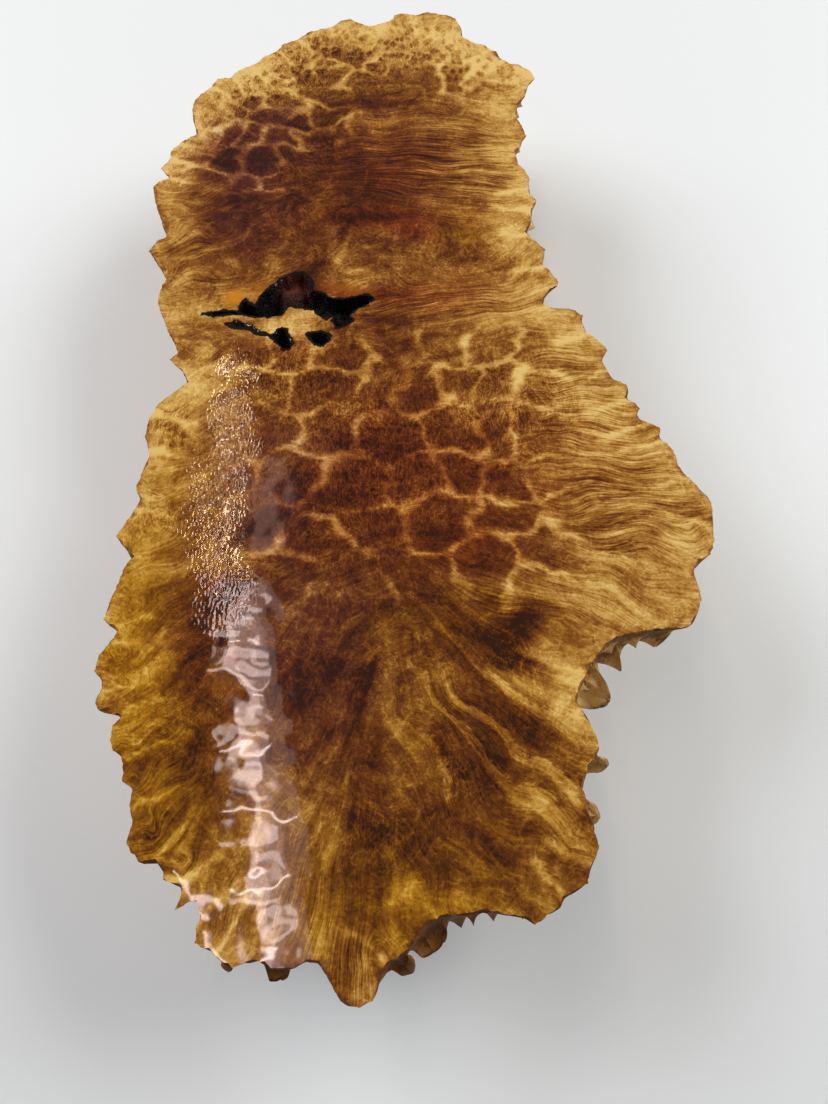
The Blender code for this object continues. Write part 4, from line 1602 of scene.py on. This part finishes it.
@dataclass(frozen=True)
class NaturalSide:
    """The debarked natural side: tan to brown wood, darker at the cones' tips, with painted shade in the
    valleys and on the cones below the near edge.

    Attributes:
        skin: Its shades from the valleys, darkened by painted shade, to the cones' flanks.
        root: The brown that the cones below the near edge are blended towards, with their painted shade.
    """

    skin: Ramp = (
        (0.00, pigment(54, 28, 4)), (0.22, pigment(112, 66, 14)), (0.45, pigment(172, 120, 46)),
        (0.70, pigment(212, 168, 98)), (1.00, pigment(234, 202, 140)),
    )
    root: Colour = pigment(116, 64, 8)

    def material(self) -> bpy.types.Material:
        """Builds the material.

        Returns:
            The material.
        """
        paint = Paint("natural_side")
        place = paint.place()
        height = paint.value_of("height")
        broad = paint.cloud(place, 0.03, 3.0, 0.55)
        patch = paint.cloud(place, 0.14, 3.0, 0.6)
        fine = paint.cloud(paint.stretched(place, 1.0, 1.0, 0.35), 1.1, 3.0, 0.6)
        tip = paint.step(0.80, 1.0, height + (patch - 0.5) * 0.25)
        # Darker in the valleys between the cones: painted shade in the creases
        valley_shade = 1.0 - paint.step(0.0, 0.5, height + (fine - 0.5) * 0.3)
        # Darker and browner on the cones below the near edge: painted shade under the overhang
        foot_shade = paint.step(-140.0, -196.0, paint.parts(place)[1])
        tone = 0.74 + (broad - 0.5) * 0.6 + (patch - 0.5) * 0.6 + (fine - 0.5) * 0.45
        tone = tone - valley_shade * 0.46 - tip * 0.24 - foot_shade * 0.40
        colour = paint.blend(foot_shade * 0.7, paint.ramp(tone, self.skin), self.root)
        bump = paint.relief(fine * 0.6 + patch * 0.4, 0.9)
        return paint.dress(Base_Color=colour, Roughness=0.5 + 0.2 * fine, Normal=bump, IOR=1.3)


@dataclass(frozen=True)
class BarkGum:
    """Black bark and dried gum in the pocket: nearly black, lumpy and glossy.

    Attributes:
        dark: The shades of the bark.
        dome: The dark red-brown of the gum dome.
    """

    dark: Ramp = (
        (0.00, pigment(4, 3, 3)), (0.45, pigment(9, 6, 5)), (0.64, pigment(22, 14, 11)),
        (1.00, pigment(70, 42, 28)),
    )
    dome: Colour = pigment(96, 46, 34)

    def material(self) -> bpy.types.Material:
        """Builds the material.

        Returns:
            The material.
        """
        paint = Paint("bark_gum")
        place = paint.place()
        x, y, _ = paint.parts(place)
        lumps = paint.cloud(place, 0.35, 4.0, 0.65)
        grit = paint.cloud(place, 1.4, 3.0, 0.6)
        beside = paint.step(0.0, 9.0, paint.math("ABSOLUTE", x - DOME_MIDDLE[0]))
        on_dome = (1.0 - beside) * paint.step(33.0, 38.0, y)
        colour = paint.ramp(lumps * 0.7 + grit * 0.3, self.dark)
        colour = paint.blend(on_dome * (0.6 + 0.4 * grit), colour, self.dome)
        bump = paint.relief(lumps * 0.8 + grit * 0.25, 1.9)
        return paint.dress(Base_Color=colour, Roughness=0.16 + 0.2 * grit, Normal=bump, IOR=1.22)


@dataclass
class Burl:
    """The burl: its form, the figure of its sawn face and its finishes.

    Attributes:
        node: The CAD node that the piece stands for.
    """

    node: str

    def build(self) -> bpy.types.Object:
        """Makes and dresses the piece.

        Returns:
            The piece.
        """
        form = BurlForm(self.node)
        piece = form.build()
        for finish in (SawnWood(), NaturalSide(), BarkGum()):
            piece.data.materials.append(finish.material())
        self.write_figure(piece, form)
        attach(piece, "root")
        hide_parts(self.node)
        return piece

    @staticmethod
    def write_figure(piece: bpy.types.Object, form: BurlForm) -> None:
        """Writes the figure's values into the mesh.

        Args:
            piece: The piece.
            form: Its form, for the height of the sawn face.
        """
        mesh = piece.data
        places = form.places(piece)
        rim_verts: set[int] = set()
        sawn_verts: set[int] = set()
        for polygon in mesh.polygons:
            if polygon.material_index == Finish.NATURAL.value:
                rim_verts.update(index for index in polygon.vertices if places[index, 2] > form.top - 0.001)
            else:
                sawn_verts.update(polygon.vertices)
        sawn = np.array(sorted(sawn_verts))
        rim = [index for index in rim_verts if index in sawn_verts]
        tree = kdtree.KDTree(len(rim))
        for index in rim:
            tree.insert((places[index, 0], places[index, 1], 0.0), index)
        tree.balance()
        gap = np.array([tree.find((places[index, 0], places[index, 1], 0.0))[2] for index in sawn])
        figure = SawnFace(GrainFlow(), form.rim).attributes(places[sawn, :2], gap)
        for name, values in figure.items():
            whole = np.zeros(len(places), np.float32)
            whole[sawn] = values
            mesh.attributes.new(name, "FLOAT", "POINT").data.foreach_set("value", whole)


# The wet band's veils of light, from left to right: shift in millimetres, width in metres, radiance
VEILS = ((1.8, 0.036, 9.5), (7.2, 0.046, 3.6), (13.5, 0.045, 1.5))
ROSY = pigment(255, 229, 222)
BAR_TINT = pigment(255, 232, 224)


@dataclass
class Studio:
    """The floor, the lights and the camera.

    Attributes:
        face: Height of the sawn face above the floor, in metres.
        view_down: How far the camera looks down, in degrees.
        eye: The camera's plan place in metres.
        eye_above_face: The camera's height above the face, in metres.
        lens: The camera's focal length in millimetres.
        sky: Strength of the light from all round.
        box_size: Width and height of the soft boxes, in metres.
        strip_rise: Height of the strips above the face, in metres.
        bar_rise: The same for the bars.
        bar_count: How many bars there are.
    """

    face: float
    view_down: float = 65.0
    eye: Place = (0.0038, -0.1974)
    eye_above_face: float = 0.2564
    lens: float = 27.03
    sky: float = 0.18
    box_size: Place = (1.6, 1.6)
    strip_rise: float = 1.5
    bar_rise: float = 1.47
    bar_count: int = 20

    def build(self) -> None:
        """Sets the whole scene up."""
        self.floor()
        self.camera()
        self.lights()

    def floor(self) -> None:
        """Lays the plain pale floor."""
        bpy.ops.object.select_all(action="DESELECT")
        bpy.ops.mesh.primitive_plane_add(size=6.0, location=(0.0, 0.0, -0.0005))
        floor = bpy.context.view_layer.objects.active
        floor.name = "floor"
        paint = Paint("floor")
        floor.data.materials.append(paint.dress(Base_Color=pigment(230, 233, 233), Roughness=0.5))
        floor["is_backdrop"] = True

    def camera(self) -> None:
        """Puts the camera where the photograph was taken from."""
        data = bpy.data.cameras.new("camera")
        data.lens = self.lens
        data.clip_start = 0.01
        camera = bpy.data.objects.new("camera", data)
        camera.location = (*self.eye, self.face + self.eye_above_face)
        camera.rotation_euler = (math.radians(90.0 - self.view_down), 0.0, 0.0)
        bpy.context.scene.collection.objects.link(camera)
        bpy.context.scene.camera = camera

    @staticmethod
    def lamp(name: str, place: Vector, turn: object, size: Place, power: float, tint: Colour) -> None:
        """Adds a rectangular light.

        Args:
            name: Its name.
            place: Its middle, in metres.
            turn: Its turn about the three axes, in radians. Unturned, it shines straight down.
            size: Its width and length in metres.
            power: Its power in watts.
            tint: Its colour.
        """
        data = bpy.data.lights.new(name, "AREA")
        data.shape = "RECTANGLE"
        data.size, data.size_y = size
        data.energy = power
        data.color = tint[:3]
        lamp = bpy.data.objects.new(name, data)
        lamp.location = place
        lamp.rotation_euler = turn
        bpy.context.scene.collection.objects.link(lamp)

    def box(self, name: str, place: Vector, power: float, tint: Colour) -> None:
        """Adds a soft box that faces the burl.

        Args:
            name: Its name.
            place: Its middle, in metres.
            power: Its power in watts.
            tint: Its colour.
        """
        turn = (Vector((0.0, 0.0, self.face)) - place).to_track_quat("-Z", "Y").to_euler()
        self.lamp(name, place, turn, self.box_size, power, tint)

    def mirrored(self, x: float, y: float, rise: float) -> Vector:
        """Finds where a light must stand so that the camera sees it mirrored in the sawn face.

        Args:
            x: Plan place of the mirror image on the face, in millimetres.
            y: The same.
            rise: Height of the light above the face, in metres.

        Returns:
            The light's place in metres.
        """
        start = Vector((*self.eye, self.face - self.eye_above_face))
        spot = Vector((x * MM, y * MM, self.face))
        return start + (spot - start) * (1.0 + rise / self.eye_above_face)

    def lights(self) -> None:
        """Lights the burl: two wide soft boxes, and strips and bars that mirror in the wet face."""
        world = bpy.data.worlds.new("studio")
        world.use_nodes = True
        shade = world.node_tree.nodes["Background"]
        shade.inputs["Color"].default_value = pigment(235, 238, 245)
        shade.inputs["Strength"].default_value = self.sky
        bpy.context.scene.world = world
        self.box("right box", Vector((1.9, 0.9, 1.5)), 54.0, pigment(253, 254, 252))
        self.box("left box", Vector((-1.95, 0.9, 1.45)), 50.0, pigment(250, 252, 255))
        for index, (shift, wide, glow) in enumerate(VEILS):
            ends = ((-60.0 + shift, -86.0), (-39.5 + shift, -207.0))
            self.strip(f"veil {index}", ends, wide, glow)
        self.strip("upper veil", ((-45.0, -42.0), (-48.0, -78.0)), 0.080, 2.2, pigment(255, 206, 184))
        self.strip("short veil", ((-60.5, -22.0), (-61.5, -40.0)), 0.045, 8.0, pigment(255, 220, 196))
        self.strip("spark", ((-66.0, 2.0), (-61.0, -86.0)), 0.011, 62.0, pigment(255, 226, 186))
        self.bars((-56.2, -92.0), (-36.2, -206.0))
        self.strip("glint", ((-66.0, -177.0), (-54.0, -191.0)), 0.007, 24.0)
        self.strip("lower glint", ((-55.0, -197.0), (-46.0, -204.0)), 0.007, 24.0)
        bpy.context.scene.view_settings.view_transform = "Standard"

    def strip(
        self, name: str, ends: tuple[Place, Place], wide: float, glow: float, tint: Colour = ROSY
    ) -> None:
        """Hangs a level strip light whose mirror image in the face runs from one plan place to another.

        Args:
            name: The strip's name.
            ends: The two plan places, in millimetres.
            wide: Its width in metres.
            glow: Its radiance.
            tint: Its colour.
        """
        far, near = (self.mirrored(x, y, self.strip_rise) for x, y in ends)
        turn = math.atan2(far.y - near.y, far.x - near.x) - math.pi / 2
        self.panel(name, (far + near) / 2.0, turn, (wide, (far - near).length), glow, tint)

    def bars(self, start: Place, end: Place) -> None:
        """Hangs a ladder of short bright bars, whose mirror images crinkle on the wet face.

        Args:
            start: Plan place of the first bar's mirror image, in millimetres.
            end: The last one's.
        """
        for index in range(self.bar_count):
            share = index / (self.bar_count - 1)
            x = start[0] + (end[0] - start[0]) * share + 2.0 * math.sin(2.3 * index)
            y = start[1] + (end[1] - start[1]) * share
            thick, glow = (0.007, 26.0) if index % 3 == 0 else (0.020, 9.0)
            size = (0.085 + 0.04 * math.sin(1.7 * index), thick)
            place = self.mirrored(x, y, self.bar_rise)
            self.panel(f"bar {index}", place, 0.3 * math.sin(3.1 * index), size, glow, BAR_TINT)

    def panel(self, name: str, place: Vector, turn: float, size: Place, glow: float, tint: Colour) -> None:
        """Hangs a level light that shines straight down.

        Args:
            name: Its name.
            place: Its middle, in metres.
            turn: Its turn about the vertical, in radians.
            size: Its width and length in metres.
            glow: Its radiance.
            tint: Its colour.
        """
        self.lamp(name, place, (0.0, 0.0, turn), size, glow * math.pi * size[0] * size[1], tint)


def main() -> None:
    """Builds the burl and the studio, and reports them."""
    logging.basicConfig(level=logging.INFO, format="%(message)s")
    cad_box = [list(corner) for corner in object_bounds()]
    piece = Burl(NODE).build()
    LOG.info("%s: %d faces", piece.name, len(piece.data.polygons))
    face = cad_box[1][2]
    Studio(face).build()
    LOG.info("studio: face at %.3f m", face)


if __name__ == "__main__":
    main()
